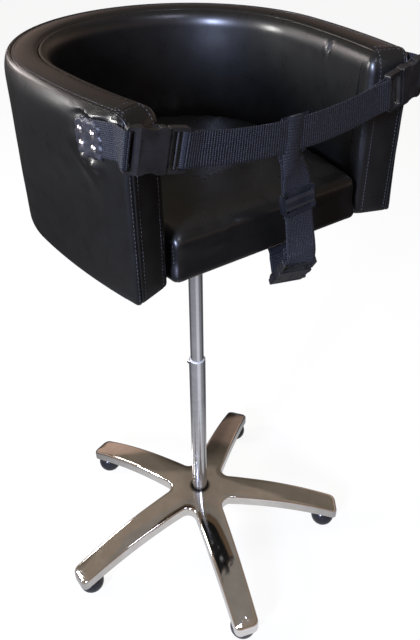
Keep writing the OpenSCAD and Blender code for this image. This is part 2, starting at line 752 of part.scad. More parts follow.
module left_buckle_socket() color(plastic_black) placed(left_at, left_x, left_z) buckle_socket();
module left_buckle_tongue() color(plastic_black) placed(left_at, left_x, left_z) buckle_tongue();
module left_latch_upper() color(plastic_black) placed(left_at, left_x, left_z) prong();
module left_latch_lower() color(plastic_black) placed(left_at, left_x, left_z) mirror([0, 0, 1]) prong();
module right_buckle_socket() mirrored() left_buckle_socket();
module right_buckle_tongue() mirrored() left_buckle_tongue();
module right_latch_upper() mirrored() left_latch_upper();
module right_latch_lower() mirrored() left_latch_lower();

// Lap belt: turned round each tongue's end bar, sagging and bowed between them
bar_x = buckle_l - bar_d / 2;
tail_l = 24;                               // webbing that lies back behind a bar
function mirror_x(p) = [-p.x, p.y, p.z];
function belt_point(s) = [s * belt_half, -belt_y + belt_bow * s * s, belt_z + belt_sag * s * s];
function belt_up(s) = unit([-2 * belt_sag * s / belt_half, 0, 1]);
// Turn of webbing round the bar at x, from angle a0 to a1 about the bar
function bar_turn(x, a0, a1, n) = [for (k = [0:n]) let(a = mix(a0, a1, k / n))
    [x + bend_r * cos(a), bend_r * sin(a), 0]];

module lap_belt() color(web_black) {
    bar = concat([[bar_x + tail_l, bend_r, 0], [bar_x + tail_l / 2, bend_r, 0]],
        bar_turn(bar_x, 90, 270, 6), [[bar_x + bar_d, -bend_r, 0]]);
    steps = 11;
    half_pts = concat([for (p = bar) on_left(p)], [for (k = [0:steps]) belt_point(mix(-0.88, 0, k / steps))]);
    half_ups = concat([for (p = bar) left_z], [for (k = [0:steps]) belt_up(mix(-0.88, 0, k / steps))]);
    back = [for (k = [len(half_pts) - 2:-1:0]) k];
    ribbon(
        concat(half_pts, [for (k = back) mirror_x(half_pts[k])]),
        concat(half_ups, [for (k = back) mirror_x(half_ups[k])]),
        web_w, web_t
    );
}

// Short webbing from the patch to the buckle, flat on the arm's outside
patch_w = 42;                              // length of the patch along the arm
patch_h = 42;
patch_t = 2;
patch_front = 33;                          // place of the patch behind the arm's front
anchor_z = belt_z + belt_sag + 6;
function on_wall(y, off) = [-side_x(y, -off), y];

module left_anchor_web() color(web_black) {
    wall_pts = [for (k = [0:6]) let(s = k / 6, y = -arm_reach + mix(patch_front + patch_w * 0.8, corner_out, s),
        p = on_wall(y, fit_gap + web_t / 2)) [p.x, p.y, mix(anchor_z, left_at.z, s)]];
    loop = [for (p = bar_turn(bar_d / 2, 190, 440, 9)) on_left(p)];
    pts = concat(wall_pts, loop);
    ribbon(pts, [for (k = [0:len(pts) - 1]) k < len(wall_pts) ? [0, 0, 1] : left_z], web_w, web_t);
}
module right_anchor_web() mirrored() left_anchor_web();

// Patch riveted over the end of that webbing
module left_patch() color(leather) {
    width_shares = [0.72, 0.95, 1, 1, 0.95, 0.72];
    off = fit_gap * 2 + web_t;
    skin([for (k = [0:5]) let(y = -arm_reach + patch_front + patch_w * (1 - k / 5),
        h = patch_h / 2 * width_shares[k], a = on_wall(y, off), b = on_wall(y, off + patch_t))
        [[a.x, y, anchor_z - h], [b.x, y, anchor_z - h], [b.x, y, anchor_z + h], [a.x, y, anchor_z + h]]]);
}
module right_patch() mirrored() left_patch();

rivet_gap_y = 20;                          // spacing of the rivets along and up the patch
rivet_gap_z = 15;
module left_rivets() color(steel) for (s = [-1, 1], z = [-1, 1]) {
    y = -arm_reach + patch_front + patch_w / 2 + s * rivet_gap_y / 2;
    p = on_wall(y, fit_gap * 2 + web_t + patch_t);
    translate([p.x, y, anchor_z + z * rivet_gap_z / 2]) rotate([0, -90, -asin((y - arc_c.y) / arm_r)])
        rotate_extrude() intersection() {
            translate([0, -rivet_d * 0.35]) circle(rivet_d * 0.6, $fn = 64);
            square([rivet_d / 2, rivet_d]);
        }
}
module right_rivets() mirrored() left_rivets();

// Crotch strap: from the lower buckle up through the slider, over the lap belt and down behind itself
strap_foot_z = seat_z - 9;
strap_foot_x = 18.5;                       // drift of the strap's foot to one side
strap_head_x = -5;
strap_y = belt_y + web_t + fit_gap;
slider_z = mix(strap_foot_z, belt_z, 0.53);
slider_turn = 8;                           // twist of the strap: at its head, slider and foot
head_turn = 0;
foot_turn = 18;
strap_top = belt_z + web_w / 2 + web_t + fit_gap * 2;
straight_z = strap_foot_z + tongue_l / 2;  // the strap drifts to one side from here up to the belt
meet_z = belt_z - web_w / 2;
function strap_turn(z) = mix(slider_turn, z > slider_z ? head_turn : foot_turn,
    max(0, min(1, abs(z - slider_z) / slider_h - 1)));
function strap_point(z) = [
    mix(strap_foot_x, strap_head_x, max(0, min(1, (z - straight_z) / (meet_z - straight_z)))), -strap_y, z
];
strap_rows = 16;
// Point on the strap's front layer, or a distance behind it, in rows from its foot to its head
function strap_row(k, back) =
    strap_point(mix(strap_foot_z, belt_z + web_w / 2, k / strap_rows)) + [0, back, 0];
function across(a) = [cos(a), -sin(a), 0];
strap_dir = unit(strap_point(meet_z) - strap_point(straight_z));

// Lower buckle: its tongue at the strap's foot, its socket lower and further back
lower_slope = 53;
lower_z = -across(foot_turn);
lower_x = [-sin(foot_turn) * cos(lower_slope), -cos(foot_turn) * cos(lower_slope), sin(lower_slope)];
lower_at = strap_point(strap_foot_z) + [0, bend_r, 0] - lower_x * bar_x;
function on_lower(p) = place(lower_at, lower_x, lower_z, p);

module crotch_buckle_socket() color(plastic_black) placed(lower_at, lower_x, lower_z) buckle_socket();
module crotch_buckle_tongue() color(plastic_black) placed(lower_at, lower_x, lower_z) buckle_tongue();
module crotch_latch_left() color(plastic_black) placed(lower_at, lower_x, lower_z) prong();
module crotch_latch_right() color(plastic_black) placed(lower_at, lower_x, lower_z) mirror([0, 0, 1]) prong();

module crotch_strap() color(web_black) {
    layer = web_t + fit_gap;
    deep = layer * 2 + fit_gap;            // from the strap's front layer to the one behind the belt
    tail = [for (k = [2, 1]) strap_row(k, bend_r * 2)];
    turned = [for (p = bar_turn(bar_x, 180 - lower_slope, -lower_slope, 7)) on_lower(p)];
    front = [for (k = [1:strap_rows]) strap_row(k, 0)];
    over = [for (p = [
        [web_t / 3, strap_top - web_t / 3], [deep / 2, strap_top], [deep - web_t / 3, strap_top - web_t / 3],
        [deep, belt_z + web_w / 4], [deep, belt_z - web_w / 2 - web_t]
    ]) strap_point(p[1]) + [0, p[0], 0]];
    // the free end runs back down through the slider
    behind = [for (k = [12:-1:6]) strap_row(k, layer)];
    pts = concat(tail, turned, front, over, behind);
    ribbon(pts, [for (p = pts) across(strap_turn(p.z))], web_w, web_t);
}

// Slider on the strap: a rounded frame in front of it and a bar behind it
slider_w = web_w + 6;
module strap_slider() color(plastic_black) {
    half = slider_w / 2;
    gap = web_t / 2 + fit_gap;
    rim = 4.5;
    side = unit(across(slider_turn) - strap_dir * (strap_dir * across(slider_turn)));
    placed(strap_point(slider_z), side, strap_dir) {
        translate([0, -gap, 0]) rotate([90, 0, 0]) linear_extrude(web_t * 1.5) difference() {
            plate_2d(-half, half, -slider_h / 2, slider_h / 2, rim);
            plate_2d(rim - half, half - rim, rim - slider_h / 2, slider_h / 2 - rim, rim / 3);
        }
        for (x = [-half, web_w / 2 + fit_gap]) translate([x, -gap, rim - slider_h / 2])
            cube([half - web_w / 2 - fit_gap, gap * 2 + web_t * 2, slider_h - rim * 2]);
        translate([-half, gap + web_t + fit_gap, -rim]) cube([slider_w, web_t, rim * 2]);
    }
}

// Rear strap: from the lower buckle's socket up under the seat to its anchor
strap_x = strap_foot_x + bar_d;
anchor_l = 22;
anchor_y = anchor_l * 2.2 - seat_reach;
anchor_t = 2;
anchor_screw_l = board_t * 0.7;
module anchor_screw_spots() for (x = [-1, 1]) translate([x * web_w / 4, anchor_l / 2]) children();
module anchor_screw_places() translate([strap_x, anchor_y, seat_z - cut]) anchor_screw_spots() children();

under_z = seat_z - cloth_t - web_t / 2 - run_gap * 2;
module rear_strap() color(web_black) difference() {
    turned = [for (p = bar_turn(bar_d / 2, 90 + 90 - lower_slope, 400, 8)) on_lower(p)];
    fall_y = turned[0].y;
    near = turned[0] + [0, 0, bar_d + slot_w];
    pts = concat(
        [[strap_x, anchor_y + anchor_l, under_z], [strap_x, fall_y + web_w / 2, under_z]],
        [for (k = [1:4]) [mix(strap_x, turned[0].x, k / 12), fall_y + web_w / 2 * (1 - sin(k * 22.5)),
            under_z - web_w / 2 * (1 - cos(k * 22.5))]],
        [near + [0, 0, bar_d], near],
        turned
    );
    ribbon(pts, [for (k = [0:len(pts) - 1]) across(min(foot_turn, k * foot_turn / 7))], web_w, web_t);
    anchor_screw_places() translate([0, 0, -board_t]) cylinder(h = board_t * 2, d = screw_d);
}
plate_z = under_z - web_t / 2 - run_gap - anchor_t;
module anchor_plate() color(steel) difference() {
    translate([strap_x - web_w / 2, anchor_y, plate_z]) cube([web_w, anchor_l, anchor_t]);
    anchor_screw_places() translate([0, 0, -board_t]) cylinder(h = board_t * 2, d = screw_d);
}
module anchor_screws() color(steel) translate([strap_x, anchor_y, plate_z]) anchor_screw_spots() {
    cylinder(h = seat_z + anchor_screw_l - cut - plate_z, d = screw_d);
    translate([0, 0, -screw_d / 2]) cylinder(h = screw_d / 2, d1 = screw_d, d2 = screw_d * 2);
}

star_base();
base_tube();
tube_bush();
tube_plug();
base_washer();
base_bolt();
lock_screw();
glide_foot(1);  // glide_foot_1
glide_foot(2);  // glide_foot_2
glide_foot(3);  // glide_foot_3
glide_foot(4);  // glide_foot_4
glide_foot(5);  // glide_foot_5
glide_stem(1);  // glide_stem_1
glide_stem(2);  // glide_stem_2
glide_stem(3);  // glide_stem_3
glide_stem(4);  // glide_stem_4
glide_stem(5);  // glide_stem_5
post_tube();
post_bush();
post_spigot();
thrust_washer();
pivot_washer();
pivot_bolt();
seat_plate();
plate_screws();
seat_board();
seat_cushion();
under_cover();
tub_shell();
shell_screws();
inner_pad();
outer_cover();
top_band();
rim_welt();
left_arm_end();
right_arm_end();
left_patch();
right_patch();
left_rivets();
right_rivets();
left_anchor_web();
right_anchor_web();
left_buckle_socket();
right_buckle_socket();
left_buckle_tongue();
right_buckle_tongue();
left_latch_upper();
left_latch_lower();
right_latch_upper();
right_latch_lower();
lap_belt();
crotch_strap();
strap_slider();
crotch_buckle_socket();
crotch_buckle_tongue();
crotch_latch_left();
crotch_latch_right();
rear_strap();
anchor_plate();
anchor_screws();
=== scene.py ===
"""Looks of the child's tub chair: upholstery, harness, column and polished base, lit in a plain studio."""
import json
from math import asin, atan, atan2, ceil, copysign, cos, degrees, exp, pi, radians, sin, sqrt, tan, tau

import bmesh
import bpy
from mathutils import Matrix, Vector, noise
from mathutils.bvhtree import BVHTree


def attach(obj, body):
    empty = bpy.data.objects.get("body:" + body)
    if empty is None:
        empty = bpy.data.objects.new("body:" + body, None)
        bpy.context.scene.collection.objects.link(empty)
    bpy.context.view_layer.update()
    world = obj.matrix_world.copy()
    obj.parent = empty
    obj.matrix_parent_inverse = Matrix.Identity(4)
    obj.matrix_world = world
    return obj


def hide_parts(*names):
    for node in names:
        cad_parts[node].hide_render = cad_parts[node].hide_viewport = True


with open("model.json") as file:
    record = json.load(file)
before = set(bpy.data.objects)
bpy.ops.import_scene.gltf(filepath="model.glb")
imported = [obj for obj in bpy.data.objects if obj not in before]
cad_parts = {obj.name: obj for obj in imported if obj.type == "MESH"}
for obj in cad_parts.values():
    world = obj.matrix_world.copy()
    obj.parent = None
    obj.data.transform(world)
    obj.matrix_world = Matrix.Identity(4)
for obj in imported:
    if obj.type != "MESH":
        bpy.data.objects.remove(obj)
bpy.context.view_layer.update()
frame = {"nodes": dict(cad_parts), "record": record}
scene = bpy.context.scene

# Sizes of the chair in millimetres, the same as the construction model's
MM = 0.001
RIM, SEAT = 947.0, 736.0
TUB_R, TUB_Y = 222.0, 14.0
ARM_R, ARM_REACH = 920.0, 188.0
SLANT = radians(20)
WALL, CAP = 56.0, 22.0
BELT_Z, BELT_SAG, BELT_Y, BELT_BOW, BELT_INSET = 896.0, 14.0, 208.0, 6.0, 58.5
WEB_W, WEB_T = 38.0, 1.6
BAR_D, SOCKET_L, TONGUE_L = 4.0, 44.0, 23.0
GAP = 0.3

ARM_C = TUB_R - ARM_R
ARM_A = asin((TUB_Y + ARM_REACH) / ARM_R)
ARM_L = ARM_A * ARM_R
BACK_L = pi * TUB_R
TUB_L = ARM_L * 2 + BACK_L
END_X = ARM_C + sqrt(ARM_R ** 2 - (TUB_Y + ARM_REACH) ** 2)
# directions at the right arm's end: out of its face, and across the face to the inside
FORWARD = Vector((-sin(SLANT), -cos(SLANT), 0))
INWARD = Vector((-cos(SLANT), sin(SLANT), 0))
UP = Vector((0, 0, 1))
SIDES = {-1: "left", 1: "right"}


# Small helpers

def mix(a, b, t):
    return a + (b - a) * t


def bump_at(x, width):
    """Smooth hump, 1 in the middle and nearly 0 two widths away."""
    return exp(-(x / width) ** 2)


def clamped(x):
    return min(1.0, max(0.0, x))


def smooth_step(a, b, x):
    t = clamped((x - a) / (b - a))
    return t * t * (3 - 2 * t)


def rough(x, y, z):
    """Slow unevenness between -1 and 1."""
    return noise.noise(Vector((x, y, z)))


def mirror_x(p):
    return Vector((-p.x, p.y, p.z))


def on_side(p, side):
    """A place or direction that was made for the right side, on either side."""
    return p if side > 0 else mirror_x(p)


def length_of(points):
    return sum((b - a).length for a, b in zip(points, points[1:]))


def heading(line, i):
    return (line[min(i + 1, len(line) - 1)] - line[max(i - 1, 0)]).normalized()


def moved(x, y, z):
    return Matrix.Translation(Vector((x, y, z)) * MM)


def sized(x, y, z):
    return Matrix.Diagonal((x * MM, y * MM, z * MM, 1))


def turned(angle, axis):
    return Matrix.Rotation(radians(angle), 4, axis)


def spaced(points, step):
    """The polyline with every stretch cut into pieces no longer than step."""
    out = [points[0]]
    for a, b in zip(points, points[1:]):
        n = max(1, ceil((b - a).length / step))
        out += [mix(a, b, k / n) for k in range(1, n + 1)]
    return out


def resampled(points, count, closed=False, values=None):
    """Points at equal distances along a polyline, or the values given at its points."""
    pts = points + [points[0]] if closed else points
    values = values or pts
    marks = [0.0]
    for a, b in zip(pts, pts[1:]):
        marks.append(marks[-1] + (b - a).length)
    out, k = [], 0
    for j in range(count if closed else count + 1):
        s = marks[-1] * j / count
        while k < len(pts) - 2 and marks[k + 1] < s:
            k += 1
        out.append(mix(values[k], values[k + 1], (s - marks[k]) / max(1e-9, marks[k + 1] - marks[k])))
    return out


def smooth_curve(points, step):
    """Points step apart on a smooth curve through the given ones."""
    fine = []
    for k in range(len(points) - 1):
        p0, p1, p2 = points[max(k - 1, 0)], points[k], points[k + 1]
        p3 = points[min(k + 2, len(points) - 1)]
        for j in range(8):
            t = j / 8
            fine.append(0.5 * (2 * p1 + (p2 - p0) * t + (2 * p0 - 5 * p1 + 4 * p2 - p3) * t * t
                               + (3 * p1 - p0 - 3 * p2 + p3) * t ** 3))
    fine.append(points[-1])
    return resampled(fine, max(2, round(length_of(fine) / step)))


def arc(cx, cy, r, a0, a1, n):
    return [Vector((cx + r * cos(radians(mix(a0, a1, k / n))),
                    cy + r * sin(radians(mix(a0, a1, k / n))))) for k in range(n + 1)]


def laid_grid(nu, nv, where):
    """Grid of nu by nv faces laid over a surface: where(u, v), in millimetres, for u and v from 0 to 1."""
    bm = bmesh.new()
    bmesh.ops.create_grid(bm, x_segments=nu, y_segments=nv, size=0.5)
    uv = bm.loops.layers.uv.new("UVMap")
    for face in bm.faces:
        for loop in face.loops:
            loop[uv].uv = (loop.vert.co.x + 0.5, loop.vert.co.y + 0.5)
    for v in bm.verts:
        v.co = where(v.co.x + 0.5, v.co.y + 0.5) * MM
    return bm


def join_points(bm, within=2e-6):
    bmesh.ops.remove_doubles(bm, verts=bm.verts, dist=within)


def face_out(bm):
    bmesh.ops.recalc_face_normals(bm, faces=bm.faces)


def close_up(bm):
    """Joins meeting edges, fills what is open and turns every face outwards."""
    join_points(bm)
    bmesh.ops.dissolve_degenerate(bm, dist=1e-7, edges=bm.edges)
    bmesh.ops.holes_fill(bm, edges=[e for e in bm.edges if e.is_boundary], sides=0)
    face_out(bm)
    return bm


def all_of(bm):
    return bm.verts[:] + bm.edges[:] + bm.faces[:]


def add_box(bm, at, x, y, z):
    bmesh.ops.create_cube(bm, size=1, matrix=at @ sized(x, y, z))


def thicken(bm, thickness):
    face_out(bm)
    bmesh.ops.solidify(bm, geom=bm.faces[:], thickness=thickness * MM)
    face_out(bm)


def grow_rim(bm):
    """Adds a strip of faces along the open edges and gives its new points."""
    grown = bmesh.ops.extrude_edge_only(bm, edges=[e for e in bm.edges if e.is_boundary])["geom"]
    return [g for g in grown if isinstance(g, bmesh.types.BMVert)]


def add_object(name, data):
    made = bpy.data.objects.new(name, data)
    scene.collection.objects.link(made)
    return made


def object_of(name, bm):
    mesh = bpy.data.meshes.new(name)
    bm.to_mesh(mesh)
    bm.free()
    return add_object(name, mesh)


def piece_from(name, bm, slot, node=None, body="seat", sharp=40, material=None):
    """Object made of a mesh, with its material slot, the body it rides on and the node that it stands for."""
    piece = object_of(name, bm)
    piece.data.shade_smooth()
    piece.data.set_sharp_from_angle(angle=radians(sharp))
    piece.data.materials.append(material or LOOKS[slot])
    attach(piece, body)
    if node:
        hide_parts(node)
    return piece


# Materials

def feed(socket, value):
    """Gives a node's input a value, or links another node's output to it."""
    if isinstance(value, bpy.types.NodeSocket):
        socket.id_data.links.new(value, socket)
    else:
        socket.default_value = value


def node_maker(tree):
    """Two functions for a node tree: one adds a node with its settings and inputs, one adds a sum."""
    def make(kind, *inputs, **settings):
        node = tree.nodes.new("ShaderNode" + kind)
        for key, value in settings.items():
            if hasattr(node, key):
                setattr(node, key, value)
            else:
                feed(node.inputs[key.replace("_", " ")], value)
        for socket, value in zip(node.inputs, inputs):
            feed(socket, value)
        return node

    def calc(operation, *values):
        return make("Math", *values, operation=operation).outputs[0]

    return make, calc


def cleared(owner):
    """Node maker of a material or world whose own nodes are taken away."""
    owner.use_nodes = True
    owner.node_tree.nodes.clear()
    return node_maker(owner.node_tree)


def colour_ramp(make, factor, stops):
    """Colour at a factor, from stops of a place and a colour."""
    ramp = make("ValToRGB", factor)
    elements = ramp.color_ramp.elements
    while len(elements) < len(stops):
        elements.new(0.5)
    for element, (at, colour) in zip(elements, stops):
        element.position, element.color = at, (*colour, 1)
    return ramp.outputs["Color"]


def new_group(name, fill, **inputs):
    """Node group of a height and a mask, both worked out by fill."""
    group = bpy.data.node_groups.new(name, "ShaderNodeTree")
    for label, value in inputs.items():
        socket = group.interface.new_socket(name=label, in_out="INPUT", socket_type="NodeSocketFloat")
        socket.default_value = value
    for label in ("Height", "Mask"):
        group.interface.new_socket(name=label, in_out="OUTPUT", socket_type="NodeSocketFloat")
    inside, outside = group.nodes.new("NodeGroupInput"), group.nodes.new("NodeGroupOutput")
    for socket, result in zip(outside.inputs, fill(*node_maker(group), inside.outputs)):
        feed(socket, result)
    return group


def fill_grain(make, calc, inside):
    """Pressed grain with slow unevenness, and a mask that breaks up gloss."""
    where = make("TexCoord").outputs["Object"]
    cells = make("TexVoronoi", feature="F1", Vector=where, Scale=inside["Scale"])
    slow = make("TexNoise", where, Scale=14.0, Detail=3.0)
    patches = make("TexNoise", where, Scale=55.0, Detail=2.0, Roughness=0.5)
    fine = calc("MULTIPLY", cells.outputs["Distance"], inside["Depth"])
    broad = calc("MULTIPLY", slow.outputs["Fac"], inside["Unevenness"])
    return calc("ADD", fine, broad), patches.outputs["Fac"]


def fill_weave(make, calc, inside):
    """Plain weave on the webbing's own UV map: cross ribs split into columns, and a mask of single threads."""
    where = make("TexCoord").outputs
    parts = make("SeparateXYZ", where["UV"]).outputs
    along = calc("MULTIPLY", parts["X"], inside["Ribs"])
    across_web = calc("MULTIPLY", parts["Y"], inside["Columns"])
    ribs = calc("SINE", calc("MULTIPLY", along, tau))
    rows = calc("ABSOLUTE", calc("SINE", calc("MULTIPLY", across_web, pi)))
    fine = calc("MULTIPLY", calc("SINE", calc("MULTIPLY", along, tau * 2)), rows)
    height = calc("ADD", calc("ADD", ribs, calc("MULTIPLY", fine, 0.5)), rows)
    threads = make("TexNoise", where["Object"], Scale=1600.0, Detail=2.0)
    return height, calc("ADD", threads.outputs["Fac"], calc("MULTIPLY", ribs, 0.16))


def fill_drawn(make, calc, inside):
    """Fine lines round an upright tube, and a mask of faint handling marks."""
    where = make("TexCoord").outputs["Object"]
    stretched = make("Mapping", where, Scale=(1.0, 1.0, 0.02)).outputs[0]
    lines = make("TexNoise", stretched, Scale=inside["Lines"], Detail=2.0)
    marks = make("TexNoise", where, Scale=38.0, Detail=6.0, Roughness=0.7)
    return lines.outputs["Fac"], calc("MULTIPLY", marks.outputs["Fac"], inside["Marks"])


grain = new_group("pressed_grain", fill_grain, Scale=900.0, Depth=1.0, Unevenness=0.5)
weave = new_group("webbing_weave", fill_weave, Ribs=100.0, Columns=18.0)
drawn = new_group("drawn_metal", fill_drawn, Lines=900.0, Marks=0.5)
MASK_LOW, MASK_HIGH = 0.3, 0.72


def finish_of(name, group, effects, colours, roughness, bump, **sockets):
    """Material whose colour and roughness each run between two values by the group's mask."""
    material = bpy.data.materials.new(name)
    material.use_nodes = True
    tree = material.node_tree
    make, _ = node_maker(tree)
    effect = make("Group", node_tree=group)
    for socket, value in zip(effect.inputs, effects):
        feed(socket, value)
    height, mask = effect.outputs["Height"], effect.outputs["Mask"]
    sockets["Base_Color"] = colour_ramp(make, mask, ((MASK_LOW, colours[0]), (MASK_HIGH, colours[1])))
    sockets["Roughness"] = make("MapRange", mask, MASK_LOW, MASK_HIGH, *roughness).outputs["Result"]
    sockets["Normal"] = make("Bump", Strength=bump[0], Distance=bump[1], Height=height).outputs["Normal"]
    for key, value in sockets.items():
        feed(tree.nodes["Principled BSDF"].inputs[key.replace("_", " ")], value)
    return material


def paint_shade_round_axis(material, inner, outer):
    """Painted shade: a dark ring in the base colour round the column, standing in for the column's shade and dark
    reflection in the polished hub, fading out between two radii.
    """
    make, _ = node_maker(material.node_tree)
    base = material.node_tree.nodes["Principled BSDF"].inputs["Base Color"]
    flat = make("VectorMath", make("TexCoord").outputs["Object"], (1, 1, 0), operation="MULTIPLY")
    far = make("VectorMath", flat.outputs[0], operation="LENGTH").outputs["Value"]
    fade = make("MapRange", far, inner, outer, 0.06, 1.0, interpolation_type="SMOOTHSTEP").outputs["Result"]
    feed(base, make("VectorMath", base.links[0].from_socket, operation="SCALE", Scale=fade).outputs[0])


LOOKS = {
    "leatherette": finish_of(
        "black_leatherette", grain, (1300.0, 0.1, 0.5),
        ((0.0040, 0.0040, 0.0036), (0.0056, 0.0056, 0.0051)), (0.27, 0.31), (0.16, 0.0006),
        Specular_IOR_Level=0.36, Coat_Weight=0.38, Coat_Roughness=0.46),
    "patch": finish_of(
        "patch_leather", grain, (520.0, 1.6, 1.2),
        ((0.014, 0.014, 0.017), (0.026, 0.026, 0.031)), (0.42, 0.5), (0.25, 0.0005)),
    "webbing": finish_of(
        "webbing_black", weave, (100.0, 20.0),
        ((0.0030, 0.0033, 0.0045), (0.0125, 0.0136, 0.019)), (0.5, 0.65), (0.6, 0.0006),
        Specular_IOR_Level=0.3, Sheen_Weight=0.07, Sheen_Roughness=0.4),
    "buckle_plastic": finish_of(
        "buckle_plastic", grain, (1500.0, 0.6, 0.3),
        ((0.010, 0.0095, 0.009), (0.017, 0.016, 0.0155)), (0.36, 0.46), (0.3, 0.0003)),
    "glide_plastic": finish_of(
        "glide_plastic", grain, (700.0, 0.1, 0.3),
        ((0.010, 0.011, 0.013), (0.018, 0.019, 0.022)), (0.16, 0.26), (0.2, 0.0003)),
    "cast_aluminium": finish_of(
        "polished_aluminium", grain, (240.0, 0.05, 1.0),
        ((0.80, 0.77, 0.73), (0.88, 0.86, 0.83)), (0.05, 0.10), (0.14, 0.001), Metallic=1.0),
    "chrome_tube": finish_of(
        "chrome_tube", drawn, (1200.0, 1.0),
        ((0.62, 0.63, 0.65), (0.74, 0.75, 0.77)), (0.17, 0.25), (0.1, 0.0004), Metallic=1.0),
    "steel": finish_of(
        "plain_steel", drawn, (700.0, 1.0),
        ((0.50, 0.50, 0.50), (0.66, 0.66, 0.66)), (0.24, 0.38), (0.25, 0.0004), Metallic=1.0),
    "rivet_chrome": finish_of(
        "rivet_chrome", grain, (600.0, 0.1, 0.4),
        ((0.74, 0.69, 0.66), (0.86, 0.82, 0.80)), (0.26, 0.34), (0.15, 0.0003), Metallic=1.0),
    "black_steel": finish_of(
        "black_steel", grain, (900.0, 0.8, 0.6),
        ((0.015, 0.015, 0.016), (0.024, 0.024, 0.025)), (0.42, 0.55), (0.4, 0.0004)),
    "plywood": finish_of(
        "plywood", drawn, (160.0, 1.0),
        ((0.36, 0.23, 0.12), (0.50, 0.34, 0.19)), (0.6, 0.75), (0.4, 0.0006)),
    "nylon": finish_of(
        "natural_nylon", grain, (900.0, 0.3, 0.5),
        ((0.60, 0.59, 0.54), (0.70, 0.69, 0.64)), (0.38, 0.5), (0.2, 0.0004)),
    "lining": finish_of(
        "black_lining", grain, (1100.0, 1.4, 0.5),
        ((0.012, 0.012, 0.012), (0.022, 0.022, 0.022)), (0.8, 0.92), (0.8, 0.0005)),
}
# painted shade: dark ring on the polished hub round the column, in place of the column's shade and reflection
paint_shade_round_axis(LOOKS["cast_aluminium"], 0.0155, 0.023)
thread = finish_of(
    "pale_thread", grain, (4000.0, 1.0, 0.2),
    ((0.042, 0.043, 0.047), (0.088, 0.090, 0.098)), (0.5, 0.65), (0.5, 0.0002))


# Tub

def on_tub(s, inset, z):
    """Place, outward direction and direction along the wall, s along its outside from the right arm's front."""
    if s > TUB_L / 2:
        place, out, along = on_tub(TUB_L - s, inset, z)
        return mirror_x(place), mirror_x(out), -mirror_x(along)
    if s < ARM_L:
        a, c, r = (s - ARM_L) / ARM_R, ARM_C, ARM_R - inset
    else:
        a, c, r = (s - ARM_L) / TUB_R, 0.0, TUB_R - inset
    out = Vector((cos(a), sin(a), 0))
    return Vector((c, TUB_Y, z)) + out * r, out, Vector((-sin(a), cos(a), 0))


def left_s(y):
    """Distance along the wall of a place y on the left arm."""
    return ARM_L + BACK_L + asin((TUB_Y - y) / ARM_R) * ARM_R


def cap_plane(side, back):
    """Point and forward direction of the plane that lies back behind an arm's end face."""
    return on_side(Vector((END_X, -ARM_REACH, 0)) - FORWARD * back, side), on_side(FORWARD, side)


def swept_round(profile, shift, steps):
    """Closed section carried round the back and along both arms, cut off square to each arm's end."""
    count = len(profile)

    def where(u, v):
        s = u * TUB_L
        p = profile[round(v * count) % count]
        place, out, _ = on_tub(s, p.x, RIM + p.y)
        return place + out * (shift(s, p.x, RIM + p.y) if shift else 0.0)

    bm = laid_grid(steps, count, where)
    join_points(bm)
    for side in (-1, 1):
        at, forward = cap_plane(side, CAP)
        verts = {v for v in bm.verts if v.co.x * side > 0}
        within = [g for g in bm.edges[:] + bm.faces[:] if verts.issuperset(g.verts)]
        bmesh.ops.bisect_plane(bm, geom=list(verts) + within, dist=1e-6, plane_co=at * MM, plane_no=forward,
                               clear_outer=True)
    return close_up(bm)


PATCH_HALF, PATCH_BACK, PATCH_Z = 21.0, 33.0, 916.0
PATCH_S = left_s(PATCH_BACK + PATCH_HALF - ARM_REACH)
RIVETS = [(ds, dz) for ds in (-10, 10) for dz in (-7.5, 7.5)]


def pull_of_patch(s, z):
    """How far the cover stands out or in where the riveted patch pulls at it."""
    push = 0.0
    for middle in (PATCH_S, TUB_L - PATCH_S):
        ds, dz = s - middle, z - PATCH_Z
        if abs(ds) > 70 or abs(dz) > 60:
            continue
        if middle < TUB_L / 2:
            ds = -ds
        for rs, rz in RIVETS:
            push -= 0.8 * exp(-((ds - rs) ** 2 + (dz - rz) ** 2) / 60)
        for bs, bz, h, w in ((-14, -24, 4.2, 42), (2, -29, 4.6, 46), (-27, -8, 1.4, 90), (15, -28, 1.4, 60)):
            push += h * exp(-((ds - bs) ** 2 + (dz - bz) ** 2) / w)
        push -= 4.5 * bump_at(dz - 18.5 + 2.0 * sin(ds / 7), 3.4) * bump_at(ds - 4, 20)
        push += 3.6 * bump_at(dz - 25 + 2.0 * sin(ds / 6 + 1), 4.6) * bump_at(ds - 4, 26)
        push -= 1.2 * bump_at(ds * 0.6 + dz * 0.8 + 42, 4.0) * bump_at(ds + 16, 20)
    return push


CUSHION_H, CUSHION_FRONT = 62.0, -178.0
CREASE_S = 105.0                           # place of the inner pad's crease along the wall


def uneven(s, z, size, seed):
    """Slow unevenness of leatherette over foam."""
    return size * rough(s / 95, z / 60, seed)


def shift_cover(s, inset, z):
    if z < SEAT + 4 or inset > rolled(z, ROLL, ROLL_H, RIM) + 0.5:
        return 0.0
    ease = smooth_step(SEAT, SEAT + 25, z) * smooth_step(RIM - 2, RIM - 18, z)
    ends = smooth_step(23, 36, min(s, TUB_L - s))
    pull = pull_of_patch(s, z) * smooth_step(RIM - 0.5, RIM - 5, z)
    shift = ((uneven(s, z, 0.9, 1.0) + 0.4) * ease + pull) * ends
    # the moulded shell stands 3 mm inside, up to 8 mm under the rim
    return max(shift, inset - mix(2.3, 7.0, smooth_step(RIM - 8, RIM - 5, z)))


def shift_pad(s, inset, z):
    if inset < 46 or z < SEAT + 20:
        return 0.0
    share = clamped((RIM - 10 - z) / (RIM - 10 - SEAT - CUSHION_H))
    fullness = -1.6 * sin(pi * share)
    ridge = 2.6 * bump_at(s - CREASE_S, 2.6) * bump_at(z - RIM + 12, 10)
    dip = 0.9 * bump_at(s - CREASE_S - 7, 4.0) * bump_at(z - RIM + 14, 9)
    return fullness + uneven(s, z, 0.7, 4.0) + (ridge - dip)


